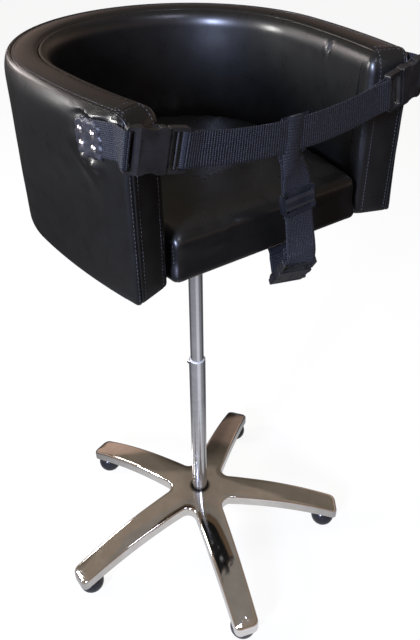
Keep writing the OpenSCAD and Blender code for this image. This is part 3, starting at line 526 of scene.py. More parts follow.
# rounded edges: how far they come in, their heights, and the inner pad's top under the rim
ROLL, PAD_ROLL, FRONT_ROLL = 8.0, 12.5, 19.0
ROLL_H, PAD_ROLL_H, FRONT_ROLL_H = 26.0, 20.0, 28.0
PAD_TOP = -1.4
PIPE_R = 1.45


def rolled(z, depth, height, top):
    """How far a rounded edge under the height top has come in at height z."""
    up = max(0.0, min(height, z - (top - height))) / height
    return depth * (1 - sqrt(max(0.0, 1 - up * up)))


def roll_heights(height, n, top=0.0):
    return [top - height * (1 - sin(radians(84 * k / n))) for k in range(n + 1)]


def points_of(*pairs):
    return [Vector(p) for p in pairs]


def make_tub():
    """The four pieces that run all the way round; sections are of insets and of heights over the rim."""
    cover = points_of((3.0, -210.9), (1.2, -210.8), (0.35, -210.0), (0.0, -208.0))
    cover += spaced(points_of((0, -208), (0, -80)), 6.0)[1:]
    cover += spaced(points_of((0, -80), (0, -ROLL_H)), 2.5)[1:-1]
    cover += [Vector((rolled(z, ROLL, ROLL_H, 0), z)) for z in roll_heights(ROLL_H, 14)]
    cover += points_of((7.7, -1.6), (8.1, -2.6), (8.1, -4.4), (7.4, -8.0), (5.8, -16.0), (4.2, -26.0))
    cover += spaced(points_of((3.4, -34), (2.7, -208)), 20.0)
    welt = arc(8.9, -1.3, PIPE_R, 200, -140, 9)
    band = points_of((10.0, -5.0), (10.0, -2.6), (10.5, -1.3), (11.6, -0.55), (12.8, -0.4), (13.6, -0.5),
                     (14.2, -0.5), (15.0, -0.35), (16.5, -0.05), (19, 0.35), (23, 0.7), (27, 0.8),
                     (31, 0.7), (35, 0.4), (38, -0.1), (40, -0.7), (41.2, -1.4), (41.9, -2.6), (41.9, -5.0))
    band += spaced([band[-1], band[0]], 8.0)[1:-1]
    pad = points_of((42.4, -5.6), (42.5, -3.2), (43.0, -2.2))
    heights = reversed(roll_heights(PAD_ROLL_H, 12, PAD_TOP))
    pad += [Vector((WALL - rolled(z, PAD_ROLL, PAD_ROLL_H, PAD_TOP), z)) for z in heights]
    pad += spaced(points_of((56.0, -24.0), (56.0, -191.0)), 6.0)
    pad += points_of((54.5, -192.6), (50.0, -193.0), (30.0, -193.0), (17.0, -193.0))
    pad += spaced(points_of((17, -193), (17, -9.6)), 24.0)[1:]
    pad += spaced(points_of((17, -9.6), (42.0, -6.4)), 8.0)[1:]
    made = []
    for name, section, shift, node, fill, steps in (
            ("outer_cover_leather", cover, shift_cover, "outer_cover", 0.2, 420),
            ("rim_piping", welt, None, "rim_welt", None, 240),
            ("top_band_leather", band, None, "top_band", 0.4, 240),
            ("inner_pad_leather", pad, shift_pad, "inner_pad", 0.8, 360)):
        made.append(piece_from(name, swept_round(section, shift, steps), "leatherette", node))
    return made


def cap_outline(out, front, inner, edge_r):
    """Plan of the right arm's end from its outside back, round the front, to its inside back."""
    corners = (CAP, out), (front, out), (front, inner), (CAP, inner)
    a, b, c, d = (end_corner(back, inset) for back, inset in corners)

    def rounded(p, v, q, r, n):
        e1, e2 = (p - v).normalized(), (q - v).normalized()
        half = e1.angle(e2) / 2
        centre = v + (e1 + e2).normalized() * r / sin(half)
        s, e = v + e1 * r / tan(half) - centre, v + e2 * r / tan(half) - centre
        turn = s.angle_signed(e)
        return [centre + Matrix.Rotation(-turn * k / n, 2) @ s for k in range(n + 1)]

    shrink = max(0.15, 1 - front / FRONT_ROLL)
    first = rounded(a, b, c, edge_r * shrink, 9)
    second = rounded(b, c, d, 13 * shrink, 9)
    side_a = [mix(a, first[0], k / 6) for k in range(6)]
    face = [mix(first[-1], second[0], k / 26) for k in range(1, 26)]
    side_d = [mix(second[-1], d, k / 6) for k in range(1, 7)]
    return side_a + first + face + second + side_d


def cap_rings():
    """Rings of an arm's end from under it, up its sides and over its top to the seam."""
    def ring(z, out, front, inner, fold):
        pts = cap_outline(out, front, WALL - inner, mix(4.0, 9.0, smooth_step(SEAT, SEAT + 80, z)))
        n = len(pts) - 1
        return [Vector((*mix(p, mix(pts[0], pts[-1], k / n), fold), z)) for k, p in enumerate(pts)]

    rings = [ring(SEAT + 0.1, 2.4, 2.4, 2.4, fold) for fold in (1.0, 0.5, 0.15, 0.0)]
    rings += [ring(SEAT + z, i, i, i, 0) for z, i in ((0.5, 1.0), (1.6, 0.3), (3.0, 0.0))]
    rings += [ring(z, 0, 0, 0, 0) for z in [mix(SEAT + 9, RIM - FRONT_ROLL_H, k / 28) for k in range(29)]]
    for k in range(1, 17):
        z = RIM - FRONT_ROLL_H * (1 - sin(radians(90 * k / 16)))
        rings.append(ring(z, rolled(z, ROLL, ROLL_H, RIM), rolled(z, FRONT_ROLL, FRONT_ROLL_H, RIM),
                          rolled(z, PAD_ROLL, PAD_ROLL_H, RIM + PAD_TOP), 0))
    for k in range(1, 8):
        fold = k / 7
        crown = 0.5 * sin(pi / 2 * min(1, fold * 2))
        rings.append(ring(RIM + crown, ROLL, FRONT_ROLL, PAD_ROLL, fold))
    return rings


def end_corner(back, out):
    """Plan point back behind the right arm's end plane and out in from the wall's outside."""
    p = Vector((END_X, -ARM_REACH)) - FORWARD.xy * back
    w = p - Vector((ARM_C, TUB_Y))
    r, b = ARM_R - out, -w.dot(INWARD.xy)
    return p - INWARD.xy * (sqrt(b * b - w.dot(w) + r * r) - b)


def make_end_piping(side):
    """Piping carried on from the rim over an arm's end and down its front."""
    path = [Vector((*end_corner(CAP + 1, 8.8), RIM - 1.2))]
    for k in range(13):
        a = radians(90 * k / 12)
        at = end_corner(FRONT_ROLL * (1 - sin(a)), 8.2)
        path.append(Vector((*at, RIM - 0.8 - FRONT_ROLL_H * (1 - cos(a)))))
    path += [Vector((*end_corner(0.3, 7.6), z)) for z in (RIM - 50, RIM - 90, SEAT + 60, SEAT + 12)]
    path.append(Vector((*end_corner(1.5, 7.6), SEAT + 3)))
    line = smooth_curve(path, 2.5)
    rows = len(line) - 1

    def where(u, v):
        i = round(u * rows)
        along = heading(line, i)
        over = along.cross(INWARD).normalized()
        a = tau * v
        return on_side(line[i] + (INWARD * cos(a) + over * sin(a)) * PIPE_R, side)

    bm = close_up(laid_grid(rows, 10, where))
    return piece_from(SIDES[side] + "_end_piping", bm, "leatherette", sharp=60)


SEAM_NEAR, SEAM_FAR = 7.2, 46.5            # seams down an arm's end, from its outer corner inwards
RIM_ROW = 13.9                             # inset of the row of stitches round the rim


def make_arm_end(side):
    rings = cap_rings()
    rows, cols = len(rings) - 1, len(rings[0]) - 1

    def where(u, v):
        p = rings[round(v * rows)][round(u * cols)].copy()
        from_corner = p - Vector((END_X, -ARM_REACH, p.z))
        w = from_corner.dot(INWARD)
        on_front = smooth_step(-9, -3, from_corner.dot(FORWARD))
        on_top = smooth_step(RIM - 6, RIM - 2, p.z)
        high = smooth_step(SEAT, SEAT + 12, p.z)
        groove = 1.1 * bump_at(w - SEAM_NEAR, 1.7) + 0.5 * bump_at(w - SEAM_FAR, 1.8)
        swell = 1.5 * sin(pi * clamped((w - SEAM_NEAR) / (SEAM_FAR - SEAM_NEAR)))
        lumps = 0.7 * rough(w / 22, p.z / 34, 9.0)
        p += FORWARD * ((swell + lumps) * high - groove) * on_front * (1 - on_top)
        p.z += (0.6 * swell - groove) * on_top
        return on_side(p, side)

    name = SIDES[side]
    bm = close_up(laid_grid(cols, rows, where))
    piece = piece_from(name + "_arm_cap", bm, "leatherette", name + "_arm_end", sharp=60)
    return piece


# Stitching

class Sewing:
    """Stitches laid on the surfaces of finished pieces."""

    def __init__(self, *pieces):
        graph = bpy.context.evaluated_depsgraph_get()
        self.trees = [BVHTree.FromObject(p, graph) for p in pieces]
        self.bm, self.bead = bmesh.new(), bpy.data.meshes.new("stitch")
        bead = bmesh.new()
        bmesh.ops.create_uvsphere(bead, u_segments=6, v_segments=5, radius=1, matrix=turned(90, "Y"))
        bead.to_mesh(self.bead)
        bead.free()

    def row(self, guide, outs, pitch=5.2, length=3.7, radius=0.36):
        """One row along a guide line; outs gives the direction away from the surface beside each point."""
        count = max(2, int(length_of(guide) / pitch))
        fine, out_pts = resampled(guide, count * 4), resampled(guide, count * 4, values=outs)
        for i in range(2, count * 4, 4):
            out = out_pts[i].normalized()
            hits = [tree.ray_cast((fine[i] + out * 15) * MM, -out, 0.04) for tree in self.trees]
            hit, normal, _, _ = min((h for h in hits if h[0]), key=lambda h: h[3], default=(None,) * 4)
            if not hit:
                continue
            along = heading(fine, i)
            along = (along - normal * along.dot(normal)).normalized()
            if normal.dot(out_pts[i]) < 0:
                normal = -normal
            place = set_in(hit / MM + normal * 0.1, along, normal.cross(along), normal)
            stitch = self.bead.copy()
            stitch.transform(place @ sized(length / 2, radius, radius * 0.8))
            self.bm.from_mesh(stitch)
            bpy.data.meshes.remove(stitch)

    def done(self, name):
        bpy.data.meshes.remove(self.bead)
        return piece_from(name, self.bm, None, material=thread)


def sew_tub(pieces):
    sewing = Sewing(*pieces)
    places = [on_tub(TUB_L * k / 300, RIM_ROW, RIM)[0] for k in range(4, 297)]
    sewing.row(places, [UP] * len(places))
    for side in SIDES:
        at, forward = cap_plane(side, 0)
        inward = on_side(INWARD, side)
        # two rows across the rim, then three down the arm's end
        for back in (29.0, 15.5):
            line = [at - forward * back + inward * w + UP * RIM for w in (13, 28, 43)]
            sewing.row(line, [UP] * 3)
        for w in (2.4, 12.0, 43.5):
            line = [at + inward * w + UP * z for z in (SEAT + 5, SEAT + 60, SEAT + 120, RIM - 36, RIM - 26)]
            outs = [forward - inward * (0.8 if w < 5 else 0)] * len(line)
            over_edge = ((1.5, 17), (5, 8), (11, 3), (20, 0))
            line += [at - forward * back + inward * w + UP * (RIM - drop) for back, drop in over_edge]
            outs += [forward + UP * 0.4, forward * 0.7 + UP, forward * 0.3 + UP, UP]
            sewing.row(line, outs, pitch=4.8, length=3.3)
    return sewing.done("tub_stitching")


# Seat cushion

def cushion_loop(inset, count=200):
    """Plan of the cushion, drawn in by an inset."""
    gap, front = WALL + 1.5 + inset, CUSHION_FRONT + inset

    def side_x(y):
        return ARM_C + sqrt((ARM_R - gap) ** 2 - (y - TUB_Y) ** 2)

    corner_r = max(2.0, 9.0 - inset * 0.4)
    x0 = side_x(front + corner_r) - corner_r
    right = arc(x0, front + corner_r, corner_r, -90, 0, 9)
    right += [Vector((side_x(y), y)) for y in (mix(front + corner_r + 4, TUB_Y, k / 12) for k in range(13))]
    back = arc(0, TUB_Y, TUB_R - gap, 0, 180, 40)[1:-1]
    left = [Vector((-p.x, p.y)) for p in reversed(right)]
    bow = [Vector((mix(-x0, x0, k / 12), front)) for k in range(1, 12)]
    return resampled(right + back + left + bow, count, closed=True)


def simulate_padding(piece, cap):
    """Blows the pad up a little as cloth and keeps the result, with no point moved further than cap."""
    remesh = piece.modifiers.new("even", "REMESH")
    remesh.mode, remesh.voxel_size = "VOXEL", 5 * MM
    bpy.ops.object.select_all(action="DESELECT")
    piece.select_set(True)
    bpy.context.view_layer.objects.active = piece
    bpy.ops.object.modifier_apply(modifier=remesh.name)
    cloth = piece.modifiers.new("foam", "CLOTH")
    cloth.settings.use_pressure = True
    cloth.settings.uniform_pressure_force = 4.0
    cloth.settings.effector_weights.gravity = 0
    cloth.settings.mass = 0.3
    for f in range(1, 21):
        scene.frame_set(f)
    swollen = piece.evaluated_get(bpy.context.evaluated_depsgraph_get()).to_mesh()
    ends = [v.co.copy() for v in swollen.vertices]
    piece.modifiers.remove(cloth)
    scene.frame_set(1)
    for v, end in zip(piece.data.vertices, ends):
        step = end - v.co
        limit = cap * smooth_step(SEAT + 4, SEAT + 30, v.co.z / MM) * MM
        v.co += step * min(1.0, limit / max(step.length, 1e-9))
    piece.data.update()


def make_cushion():
    top, low, edge = SEAT + CUSHION_H, SEAT - 0.3, 16
    # inset, height and closing of each ring, from under the middle, round the edge, to the crown's middle
    rings = [(0.0, low, 1.0), (0.0, low, 0.5), (7.0, low, 0.0), (4.0, low + 0.4, 0.0), (2.0, low + 2.5, 0.0)]
    rings += [(1.6, mix(low + 6, top - edge, k / 6), 0.0) for k in range(7)]
    for k in range(1, 9):
        a = radians(90 * k / 8)
        rings.append((1.6 + 17 * (1 - cos(a)), top - edge + edge * sin(a), 0.0))
    rings += [(18.6, top + 8 * sin(pi / 2 * f), f) for f in (0.08, 0.18, 0.32, 0.5, 0.7, 0.88, 1.0)]
    loops = [cushion_loop(inset) for inset, _, _ in rings]
    count = len(loops[0])

    def where(u, v):
        k = round(v * (len(rings) - 1))
        _, z, fold = rings[k]
        return Vector((*mix(loops[k][round(u * count) % count], Vector((0, 0)), fold), z))

    bm = close_up(laid_grid(count, len(rings) - 1, where))
    piece = piece_from("seat_cushion_leather", bm, "leatherette", "seat_cushion", sharp=70)
    simulate_padding(piece, 3.5)
    dent_cushion(piece)
    piece.data.shade_smooth()
    rounding = piece.modifiers.new("smooth", "SUBSURF")
    rounding.levels = rounding.render_levels = 1
    return piece


SEAM_X = 143.0                             # seams at the cushion's two front corners


def dent_cushion(piece):
    """Sewn corner seams, faint sitting hollow and slow unevenness."""
    for v in piece.data.vertices:
        x, y, z = v.co / MM
        corner = smooth_step(120, 142, abs(x)) * smooth_step(-150, -170, y) * smooth_step(SEAT + 26, SEAT + 8, z)
        v.co += Vector((copysign(1.6, x), -1.2, -0.5 if z < SEAT + 3 else 0.0)) * MM * corner
        if z < SEAT + 3:
            continue
        seat_top = smooth_step(SEAT + 52, SEAT + 64, z)
        v.co.z -= 1.6 * MM * seat_top * bump_at(x, 95) * bump_at(y - 20, 95)
        v.co.z += 0.8 * MM * seat_top * rough(x / 45, y / 45, 2.0)
        front = smooth_step(-160, -172, y) * (1 - seat_top)
        v.co.y -= (0.9 * rough(x / 70, z / 30, 5.0) + 0.6) * MM * front
        groove = bump_at(abs(x) - SEAM_X, 1.8) * front * smooth_step(SEAT + 58, SEAT + 50, z)
        v.co.y += MM * groove


def sew_cushion(piece):
    sewing = Sewing(piece)
    for side in SIDES:
        line = [Vector(((SEAM_X - 2.8) * side, CUSHION_FRONT, SEAT + z)) for z in (4, 20, 40, 54)]
        sewing.row(line, [Vector((0, -1, 0))] * 4, pitch=4.6, length=3.0, radius=0.3)
    return sewing.done("seat_stitching")


def make_under_cloth():
    """Black cloth stapled under the seat board, with a square hole round the plate."""
    hole_half, count = 70.6, 160
    outer = cushion_loop(12.0, count)

    def where(u, v):
        p = outer[round(u * count) % count]
        q = mix(p * (hole_half / max(abs(p.x), abs(p.y))), p, v)
        sag = 1.6 * sin(pi * v) + 0.4 * rough(q.x / 30, q.y / 30, 7.0)
        return Vector((*q, SEAT - 0.8 - sag))

    bm = laid_grid(count, 14, where)
    join_points(bm)
    area = sum(f.calc_area() for f in bm.faces)
    thicken(bm, 0.5)
    piece = piece_from("under_cloth", bm, "lining", "under_cover")
    return piece


# Harness

def webbing(name, path, ups, node, cupped=None):
    """Flat webbing along a path with real cross ribs; ups is the direction of its width at each point.
    cupped gives, for a place on the path, how much narrower it looks there as its edges bend back."""
    line = smooth_curve(path, 0.8)
    rows = len(line) - 1
    marks = resampled(path, rows, values=ups)
    length = length_of(line)
    flat = [mix(-0.975, 0.975, k / 14) for k in range(15)]
    section = [(-1.0, 0.0), *((t, 1.0) for t in flat), (1.0, 0.0), *((t, -1.0) for t in reversed(flat))]
    count = len(section)

    def where(u, v):
        i = round(u * rows)
        along = heading(line, i)
        up = (marks[i] - along * marks[i].dot(along)).normalized()
        face = along.cross(up)
        t, h = section[round(v * count) % count]
        share = i / rows
        bend = cupped(line[i]) if cupped else 0.0
        wide = WEB_W * (0.5 - bend / 2 + 0.006 * rough(share * length / 14, t, 3.0))
        rib = 0.16 * sin(tau * share * length / 3.2) * (1 - abs(t) ** 8)
        thick = (WEB_T / 2 - 0.12 + 0.15 * abs(t) ** 6 + rib) * h
        lift = copysign(bend * 22 * t * t, face.y)
        wave = 0.35 * rough(share * length / 26, t * 1.2, 11.0)
        return line[i] + up * wide * t + face * (thick + lift + wave * smooth_step(0, 0.08, min(share, 1 - share)))

    bm = close_up(laid_grid(rows, count, where))
    uv = bm.loops.layers.uv.active
    for face in bm.faces:
        for loop in face.loops:
            loop[uv].uv.y = min(1.0, abs(loop[uv].uv.y * 2 - 1))
            loop[uv].uv.x *= length / 320
    return piece_from(name, bm, "webbing", node, sharp=80)


BELT_HALF = END_X - BELT_INSET
TILT = atan(2 * BELT_SAG / BELT_HALF)
YAW = atan(2 * BELT_BOW / BELT_HALF)
BUCKLE_L = SOCKET_L + TONGUE_L
BEND_R = (BAR_D + WEB_T) / 2 + GAP
LEFT_X = Vector((cos(YAW) * cos(TILT), -sin(YAW) * cos(TILT), -sin(TILT)))
LEFT_Z = Vector((cos(YAW) * sin(TILT), -sin(YAW) * sin(TILT), cos(TILT)))
LEFT_Y = LEFT_Z.cross(LEFT_X)
LEFT_AT = Vector((-BELT_HALF, BELT_BOW - BELT_Y, BELT_Z + BELT_SAG)) - LEFT_X * BUCKLE_L
LEFT = (LEFT_AT, LEFT_X, LEFT_Y, LEFT_Z)
BAR_X = BUCKLE_L - BAR_D / 2

FOOT_Z, FOOT_X, FOOT_TURN, SLOPE = SEAT - 9, 18.5, radians(18), radians(53)
HEAD_X, STRAP_Y = -5.0, BELT_Y + WEB_T + GAP
SLIDER_Z, SLIDER_H, SLIDER_TURN = mix(FOOT_Z, BELT_Z, 0.53), 32.0, 8.0
WAIST_Z = 862.0                            # height at which the crotch strap twists and narrows most
PLATE_L = 22.0                             # length of the rear strap's anchor plate


def placed(axes, p):
    """A place given along a buckle's own axes."""
    at, ex, ey, ez = axes
    return at + ex * p.x + ey * p.y + ez * p.z


def bar_turn(x, a0, a1, n):
    return [p.to_3d() for p in arc(x, 0, BEND_R, a0, a1, n)]


def belt_point(s):
    return Vector((s * BELT_HALF, -BELT_Y + BELT_BOW * s * s, BELT_Z + BELT_SAG * s * s))


def make_lap_belt():
    bar = points_of((BAR_X + 24, BEND_R, 0), (BAR_X + 12, BEND_R, 0)) + bar_turn(BAR_X, 90, 270, 6)
    bar.append(Vector((BAR_X + BAR_D, -BEND_R, 0)))
    shares = [mix(-0.88, 0, k / 11) for k in range(12)]
    half = [placed(LEFT, p) for p in bar] + [belt_point(s) for s in shares]
    ups = [LEFT_Z] * len(bar) + [Vector((-2 * BELT_SAG * s / BELT_HALF, 0, 1)).normalized() for s in shares]
    path, ups = (row + [mirror_x(p) for p in reversed(row[:-1])] for row in (half, ups))
    return webbing("lap_belt_webbing", path, ups, "lap_belt")


def on_wall(y, off):
    return Vector((-(ARM_C + sqrt((ARM_R + off) ** 2 - (y - TUB_Y) ** 2)), y))


def make_anchor_web(side):
    path = []
    for k in range(7):
        y = -ARM_REACH + mix(PATCH_BACK + PATCH_HALF * 1.6, 12, k / 6)
        path.append(Vector((*on_wall(y, GAP + WEB_T / 2 + 0.3), mix(PATCH_Z, LEFT_AT.z, k / 6))))
    bend = [placed(LEFT, p) for p in bar_turn(BAR_D / 2, 190, 440, 9)]
    ups = [UP] * len(path) + [LEFT_Z] * len(bend)
    path, ups = ([on_side(p, -side) for p in row] for row in (path + bend, ups))
    return webbing(SIDES[side] + "_anchor_webbing", path, ups, SIDES[side] + "_anchor_web")


def strap_point(z):
    straight, meet = FOOT_Z + TONGUE_L / 2, BELT_Z - WEB_W / 2
    share = clamped((z - straight) / (meet - straight))
    return Vector((mix(FOOT_X, HEAD_X, share), -STRAP_Y, z))


def strap_turn(z):
    far = clamped(abs(z - SLIDER_Z) / SLIDER_H - 1)
    return mix(SLIDER_TURN, 0.0 if z > SLIDER_Z else 18.0, far)


def across(angle):
    return Vector((cos(radians(angle)), -sin(radians(angle)), 0))


LOW_Z = -across(18)
LOW_X = Vector((-sin(FOOT_TURN) * cos(SLOPE), -cos(FOOT_TURN) * cos(SLOPE), sin(SLOPE)))
LOW_Y = LOW_Z.cross(LOW_X)
LOWER = (strap_point(FOOT_Z) + Vector((0, BEND_R, 0)) - LOW_X * BAR_X, LOW_X, LOW_Y, LOW_Z)


def strap_row(k, back):
    return strap_point(mix(FOOT_Z, BELT_Z + WEB_W / 2, k / 16)) + Vector((0, back, 0))


def make_crotch_strap():
    layer = WEB_T + GAP
    deep = layer * 2 + GAP
    top = BELT_Z + WEB_W / 2 + WEB_T + GAP * 2
    path = [strap_row(2, BEND_R * 2), strap_row(1, BEND_R * 2)]
    path += [placed(LOWER, p) for p in bar_turn(BAR_X, 127, -53, 7)]
    path += [strap_row(k, 0) for k in range(1, 17)]
    for back, z in ((WEB_T / 3, top - WEB_T / 3), (deep / 2, top), (deep - WEB_T / 3, top - WEB_T / 3),
                    (deep, BELT_Z + WEB_W / 4), (deep, BELT_Z - WEB_W / 2 - WEB_T)):
        path.append(strap_point(z) + Vector((0, back, 0)))
    path += [strap_row(k, layer) for k in range(12, 5, -1)]
    ups = []
    for p in path:
        twisted = p.y < -STRAP_Y + 0.5 and WAIST_Z - 42 < p.z < WAIST_Z + 38
        extra = 16 * bump_at(p.z - WAIST_Z, 16) if twisted else 0
        ups.append(across(strap_turn(p.z) - extra))

    def cupped(p):
        return 0.2 * smooth_step(WAIST_Z - 24, WAIST_Z + 6, p.z) if p.y < -STRAP_Y + 3 else 0.0

    return webbing("crotch_strap_webbing", path, ups, "crotch_strap", cupped)


def make_rear_strap():
    under, half = SEAT - 1 - WEB_T / 2 - 0.1, WEB_W / 2
    start_y = PLATE_L * 2.2 + CUSHION_FRONT
    bend = [placed(LOWER, p) for p in bar_turn(BAR_D / 2, 127, 400, 8)]
    fall, near, x = bend[0].y, bend[0] + UP * (BAR_D + 5), FOOT_X + BAR_D
    path = [Vector((x, y, under)) for y in (start_y + PLATE_L, start_y, fall + half)]
    for k in range(1, 5):
        a = radians(k * 22.5)
        path.append(Vector((mix(x, bend[0].x, k / 12), fall + half * (1 - sin(a)),
                            under - half * (1 - cos(a)))))
    path += [near + UP * BAR_D, near] + bend
    ups = [across(min(18, max(0, k - 1) * 18 / 7)) for k in range(len(path))]
    return webbing("rear_strap_webbing", path, ups, "rear_strap")


def make_patch(side):
    """Leather patch with a pinked, uneven edge, drawn in at its four rivets."""
    def where(u, v):
        t, h = u * 2 - 1, v * 2 - 1
        edge = smooth_step(0.86, 1.0, max(abs(t), abs(h)))
        scale = 1 + 0.05 * sin(atan2(h, t) * 13) + 0.03 * rough(t * 2, h * 2, 1.0)
        reach = PATCH_HALF * scale * (1 - 0.14 * (abs(t) * abs(h)) ** 2)
        y, dz = PATCH_BACK + PATCH_HALF - ARM_REACH - t * reach, 0.95 * h * reach
        off = GAP * 2 + WEB_T + 1.9 * (1 - edge)
        for rs, rz in RIVETS:
            off -= 0.7 * exp(-((t * PATCH_HALF - rs) ** 2 + (dz - rz) ** 2) / 22)
        off += 0.5 * rough(t * 3, h * 3, 4.0)
        return on_side(Vector((*on_wall(y, off), PATCH_Z + dz)), -side)

    bm = laid_grid(34, 34, where)
    face_out(bm)
    if sum(f.normal.x for f in bm.faces) * side < 0:
        bmesh.ops.reverse_faces(bm, faces=bm.faces)
    for v in grow_rim(bm):
        v.co.x -= 1.0 * MM * side
    name = SIDES[side] + "_patch"
    return piece_from(name + "_leather", close_up(bm), "patch", name, sharp=50)


def softened(name, node, width, extra=None, body="seat", material=None):
    """Copy of a construction piece with its edges rounded."""
    bm = bmesh.new()
    bm.from_mesh(frame["nodes"][node].data)
    join_points(bm)
    bmesh.ops.dissolve_limit(bm, angle_limit=radians(1.5), use_dissolve_boundaries=False,
                             verts=bm.verts, edges=bm.edges, delimit=set())
    if extra:
        extra(bm)
    piece = piece_from(name, bm, "buckle_plastic", node, body, 35, material)
    bevel = piece.modifiers.new("edges", "BEVEL")
    bevel.width, bevel.segments, bevel.limit_method = width * MM, 2, "ANGLE"
    bevel.angle_limit, bevel.harden_normals = radians(35), False
    return piece


def set_in(frame_at, ex, ey, ez):
    m = Matrix((ex, ey, ez)).transposed().to_4x4()
    m.translation = frame_at * MM
    return m


# bars on a socket's faces: place along and across it, length, width and turn
LEDGES = ((25, 1, 23, 0.7, 0), (13.8, 0, 0.8, 25, 0), (24.2, -17.2, 5.4, 1.0, 28), (28.6, -17.2, 5.4, 1.0, -28),
          (24.2, 17.2, 5.4, 1.0, -28), (28.6, 17.2, 5.4, 1.0, 28))


def ledge_on(axes, mirrored):
    """Raised lines and corner ticks on both faces of a socket."""
    def add(bm):
        place = set_in(*axes)
        if mirrored:
            place = Matrix.Diagonal((-1, 1, 1, 1)) @ place
        for x, z, w, h, turn in LEDGES:
            for face in (-6.15, 6.15):
                add_box(bm, place @ moved(x, face, z) @ turned(turn, "Y"), w, 0.9, h)
    return add


def make_slider_bar():
    """Bulging crossbar of the strap's slider."""
    low, high = (strap_point(SLIDER_Z + d) for d in (-10, 10))
    upright, side = (high - low).normalized(), across(SLIDER_TURN)
    side = (side - upright * side.dot(upright)).normalized()
    out = upright.cross(side)
    ahead = copysign(2.2, -out.y)
    bm = bmesh.new()
    bmesh.ops.create_cone(
        bm, cap_ends=True, segments=32, radius1=0.5, radius2=0.5, depth=1,
        matrix=set_in((low + high) / 2 + out * ahead, side, out, upright) @ sized(39, 7.5, 17) @ turned(90, "Y"))
    return piece_from("strap_slider_bar", bm, "buckle_plastic", sharp=50, material=LOOKS["glide_plastic"])


def make_buckles():
    for name, axes, flip in (("left", LEFT, False), ("right", LEFT, True), ("crotch", LOWER, False)):
        softened(name + "_socket_shell", name + "_buckle_socket", 0.7, ledge_on(axes, flip))
        softened(name + "_tongue_frame", name + "_buckle_tongue", 0.6)
    for latch in ("left_latch_upper", "left_latch_lower", "right_latch_upper", "right_latch_lower",
                  "crotch_latch_left", "crotch_latch_right"):
        softened(latch + "_prong", latch, 0.4, body=latch)
    softened("strap_slider_frame", "strap_slider", 1.6, material=LOOKS["glide_plastic"])
    make_slider_bar()


# Star base

STAR_TURN, STAR_Z, STAR_DROP, STAR_REACH = 37.0, 112.0, 59.0, 275.0
HUB_HALF, TIP_HALF, WEB_R, SIDE_H, TIP_R = 27.0, 22.0, 17.0, 20.0, 11.0
BORE_R, EDGE_R = 14.1, 4.2                 # hole for the column, rounding along the top's edge
GLIDE_R = 250.0                            # circle of the glides' stems


def star_top(r):
    return STAR_Z - STAR_DROP * (r / STAR_REACH) ** 2


def star_half_outline(count):
    """Left half of an arm's outline, from the web beside the hub to the middle of its tip."""
    taper = degrees(atan((HUB_HALF - TIP_HALF) / (STAR_REACH - HUB_HALF * 2)))
    mid = arc(0, 0, (HUB_HALF + WEB_R) / sin(radians(36)), 36, 36, 1)[0]
    pts = arc(mid.x, mid.y, WEB_R, 216, 270 - taper, 14)
    tip = arc(STAR_REACH - TIP_R, TIP_HALF - TIP_R, TIP_R, 90, 0, 10)
    pts += [mix(pts[-1], tip[0], k / 20) for k in range(1, 20)] + tip
    pts += [Vector((STAR_REACH, tip[-1].y * (1 - k / 4))) for k in range(1, 5)]
    return resampled(pts, count)


def half_arm():
    """Top of half an arm and its share of the hub, with the edge rounded, open at the column's bore."""
    count = 84
    outline = star_half_outline(count)
    insets = (0, 0.35, 0.9, 1.7, 2.8, 4.2, 6.0, 9.0, 13.0, 18.0)
    last, x0 = len(insets) - 1, outline[0].x

    def where(u, v):
        c = outline[round(u * count)]
        spine = c.x - x0 * (1 - smooth_step(0, 70, c.x - x0))
        s = Vector((min(spine, STAR_REACH - TIP_HALF * 0.8), 0))
        row, span = round(v * (last + 4)), (c - s).length
        d = insets[min(row, last)] * min(1.0, span / 24)
        if row > last:
            d = mix(d, span, (row - last) / 4)
        p = mix(c, s, d / span)
        if p.length < BORE_R:
            p = (p if p.length > 0.1 else c).normalized() * BORE_R
        edge = EDGE_R - sqrt(max(0, EDGE_R ** 2 - max(0, EDGE_R - d) ** 2))
        crown = 1.6 * (1 - exp(-d / 9))
        return Vector((p.x, p.y, star_top(p.length) - edge + crown))

    bm = laid_grid(count, last + 4, where)
    join_points(bm)
    over_bore = [f for f in bm.faces if all(v.co.xy.length < (BORE_R + 0.01) * MM for v in f.verts)]
    bmesh.ops.delete(bm, geom=over_bore, context="FACES")
    return bm


def add_boss(bm):
    """Hollow boss round the column."""
    corners = points_of((BORE_R, 0, 72), (26, 0, 72), (27, 0, 108), (BORE_R, 0, 108))
    section = [bm.verts.new(p * MM) for p in corners]
    ring = section + [bm.edges.new((section[k - 1], section[k])) for k in range(4)]
    before = set(bm.faces)
    bmesh.ops.spin(bm, geom=ring, cent=(0, 0, 0), axis=(0, 0, 1), angle=tau, steps=64, use_merge=True)
    bmesh.ops.recalc_face_normals(bm, faces=[f for f in bm.faces if f not in before])


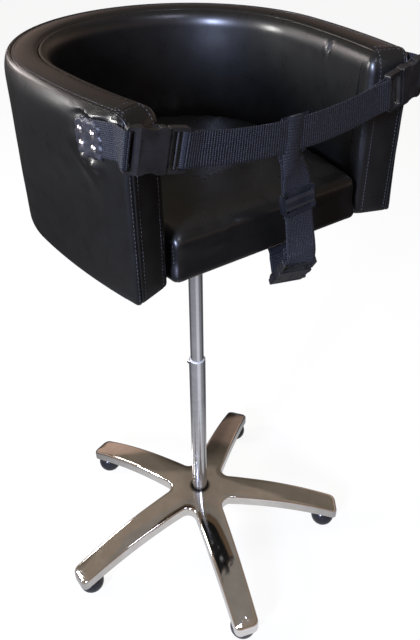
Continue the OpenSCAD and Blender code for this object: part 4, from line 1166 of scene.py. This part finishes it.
def make_star():
    bm = half_arm()
    bmesh.ops.mirror(bm, geom=all_of(bm), axis="Y", merge_dist=2e-6)
    join_points(bm)
    bmesh.ops.rotate(bm, verts=bm.verts, cent=(0, 0, 0), matrix=turned(STAR_TURN, "Z"))
    bmesh.ops.spin(bm, geom=all_of(bm), cent=(0, 0, 0), axis=(0, 0, 1),
                   angle=tau * 4 / 5, steps=4, use_duplicate=True)
    join_points(bm, 5e-5)
    face_out(bm)
    for drop in (2.5, 9.0, 15.5, 19.0, 19.9):
        for v in grow_rim(bm):
            v.co.z = (star_top(v.co.xy.length / MM) - mix(EDGE_R, SIDE_H, drop / 19.9)) * MM
    face_out(bm)
    if sum(f.normal.z * f.calc_area() for f in bm.faces) < 0:
        bmesh.ops.reverse_faces(bm, faces=bm.faces)
    bmesh.ops.solidify(bm, geom=bm.faces[:], thickness=3.4 * MM)
    face_out(bm)
    add_boss(bm)
    for arm in range(5):
        turn = turned(STAR_TURN + arm * 72, "Z")
        bmesh.ops.create_cone(bm, cap_ends=True, segments=36, radius1=9.5 * MM, radius2=10.5 * MM, depth=15 * MM,
                              matrix=turn @ moved(GLIDE_R, 0, star_top(GLIDE_R) - SIDE_H + 7.5))
        for k in range(9):
            x = mix(26, 236, (k + 0.5) / 9)
            slope = degrees(atan(2 * STAR_DROP * x / STAR_REACH ** 2))
            add_box(bm, turn @ moved(x, 0, star_top(x) - 9.2) @ turned(slope, "Y"), 26, 4, 12)
    return piece_from("polished_star", bm, "cast_aluminium", "star_base", "base", 50)


# Carried-over construction pieces

def dress_nodes():
    slots = {row["node"]: row["material_slot"] for row in frame["record"]["subparts"]}
    for node, piece in frame["nodes"].items():
        piece.data.materials.clear()
        piece.data.materials.append(LOOKS[slots[node]])


# Studio

def make_camera():
    data = bpy.data.cameras.new("camera")
    picture_h, focal, right, up = 640, 676.98, -5.77, -2.25        # in pixels of the photograph
    data.sensor_width, data.lens = 36.0, focal / picture_h * 36.0
    data.shift_x, data.shift_y = right / picture_h, up / picture_h
    data.clip_start, data.clip_end = 0.05, 60
    scene.camera = add_object("camera", data)
    scene.camera.location = (-0.4840, -0.7322, 1.1717)
    scene.camera.rotation_euler = (radians(90 - 36.479), 0, radians(-35.515))


def light_up():
    for name, place, aim, size, power, colour, mirrored in (
            ("window_back_left", (-0.85, 2.5, 1.7), (-0.1, 0, 0.9), (0.9, 0.7), 17, (1.0, 0.91, 0.90), True),
            ("window_far_left", (-2.2, 1.45, 1.52), (0.1, 0, 0.9), (0.40, 0.65), 62, (1.0, 1.0, 0.98), True),
            ("window_left", (-2.4, -1.2, 1.62), (0.1, 0.1, 0.9), (0.36, 0.8), 165, (0.57, 0.66, 1.0), True),
            ("window_front", (-0.5, -1.5, 2.6), (0, 0, 0.8), (0.7, 0.5), 12, (0.75, 0.80, 1.0), True),
            ("ceiling", (0.4, 0.3, 2.8), (0, 0, 0.6), (2.0, 2.0), 22, (1.0, 0.97, 0.94), False)):
        data = bpy.data.lights.new(name, "AREA")
        data.shape, data.size, data.size_y = "RECTANGLE", *size
        data.energy, data.color = power, colour
        lamp = add_object(name, data)
        lamp.location, lamp.visible_glossy = place, mirrored
        lamp.rotation_euler = (Vector(aim) - Vector(place)).to_track_quat("-Z", "Y").to_euler()


def seen_as(make, room, eye):
    """Shader that the camera sees as one thing, while all else is lit by the other."""
    to_camera = make("LightPath").outputs["Is Camera Ray"]
    return make("MixShader", to_camera, room.outputs[0], eye.outputs[0]).outputs[0]


def by_direction(make, where, colour, amount, levels, tint=(1, 1, 1)):
    """Colour multiplied by levels that change round about the chair."""
    round_about = make("TexGradient", where, gradient_type="RADIAL").outputs["Fac"]
    shade = colour_ramp(make, round_about, [(at, [level * part for part in tint]) for at, level in levels])
    mixed = make("Mix", amount, data_type="RGBA", blend_type="MULTIPLY")
    feed(mixed.inputs[6], colour)
    feed(mixed.inputs[7], shade)
    return mixed.outputs[2]


WHITE = (1, 1, 1, 1)
# colours from the horizon up, and levels round about, of the room that the chair mirrors
ROOM_COLOURS = (
    (0.0, (0.10, 0.075, 0.06)), (0.02, (0.24, 0.165, 0.135)), (0.08, (0.52, 0.36, 0.29)),
    (0.34, (0.40, 0.29, 0.23)), (0.39, (0.17, 0.14, 0.11)), (0.64, (0.15, 0.125, 0.10)),
    (0.70, (0.26, 0.215, 0.175)), (0.86, (0.26, 0.21, 0.17)), (0.90, (0.22, 0.20, 0.18)))
ROOM_LEVELS = ((0.0, 0.9), (0.57, 1.0), (0.595, 0.5), (0.625, 0.45), (0.64, 0.3), (0.672, 0.3), (0.70, 1.0),
               (1.0, 0.95))
# colours from the column outwards, and levels round about, of the floor that the chair mirrors
FLOOR_COLOURS = (
    (0.15, (0.60, 0.60, 0.62)), (0.31, (0.60, 0.60, 0.61)), (0.60, (0.46, 0.46, 0.47)), (0.68, (0.16, 0.13, 0.11)),
    (0.76, (0.09, 0.07, 0.06)))
FLOOR_LEVELS = ((0.0, 0.62), (0.14, 0.7), (0.17, 1.35), (0.27, 1.25), (0.30, 0.5), (0.39, 0.45), (0.43, 0.16),
                (0.87, 0.2), (0.92, 0.6))


def make_room():
    scene.world = bpy.data.worlds.new("studio")
    make, calc = cleared(scene.world)
    where = make("TexCoord").outputs["Generated"]
    height = make("SeparateXYZ", where).outputs["Z"]
    clouds = make("TexNoise", where, Scale=2.2, Detail=1.5).outputs["Fac"]
    wave = calc("MULTIPLY", calc("SUBTRACT", clouds, 0.5), 0.36)
    colours = colour_ramp(make, calc("ADD", height, wave), ROOM_COLOURS)
    low = make("MapRange", height, 0.5, 0.62, 1.0, 0.3).outputs["Result"]
    room = make("Background", by_direction(make, where, colours, low, ROOM_LEVELS))
    make("OutputWorld", seen_as(make, room, make("Background", WHITE, 1.0)))


def make_floor():
    """Pale floor: nearly white to the eye, and a grey and tan room floor in reflections."""
    bm = bmesh.new()
    bmesh.ops.create_grid(bm, x_segments=1, y_segments=1, size=20)
    floor, material = object_of("studio_floor", bm), bpy.data.materials.new("pale_floor")
    floor.data.materials.append(material)
    make, calc = cleared(material)
    where = make("TexCoord").outputs["Object"]
    speckle = make("TexNoise", where, Scale=3.0, Detail=4.0).outputs["Fac"]
    far = make("VectorMath", where, operation="LENGTH").outputs["Value"]
    reach = calc("MULTIPLY", calc("ADD", far, calc("MULTIPLY", speckle, 0.3)), 0.5)
    near = make("MapRange", far, 0.15, 0.38).outputs["Result"]
    colours = colour_ramp(make, reach, FLOOR_COLOURS)
    room = make("Emission", by_direction(make, where, colours, near, FLOOR_LEVELS, (1, 1, 1.06)), 1.0)
    lit, glow = make("BsdfDiffuse", (0.95, 0.95, 0.95, 1)), make("Emission", WHITE, 1.0)
    pale = make("MixShader", 0.9, lit.outputs[0], glow.outputs[0])
    make("OutputMaterial", seen_as(make, room, pale))


make_camera()
dress_nodes()
tub = make_tub()
caps = [make_arm_end(side) for side in SIDES]
for end_side in SIDES:
    make_end_piping(end_side)
sew_tub(tub + caps)
cushion = make_cushion()
sew_cushion(cushion)
make_under_cloth()
make_lap_belt()
make_crotch_strap()
make_rear_strap()
for arm_side in SIDES:
    make_anchor_web(arm_side)
    make_patch(arm_side)
make_buckles()
make_star()
scene.view_settings.view_transform = "Standard"
make_floor()
make_room()
light_up()
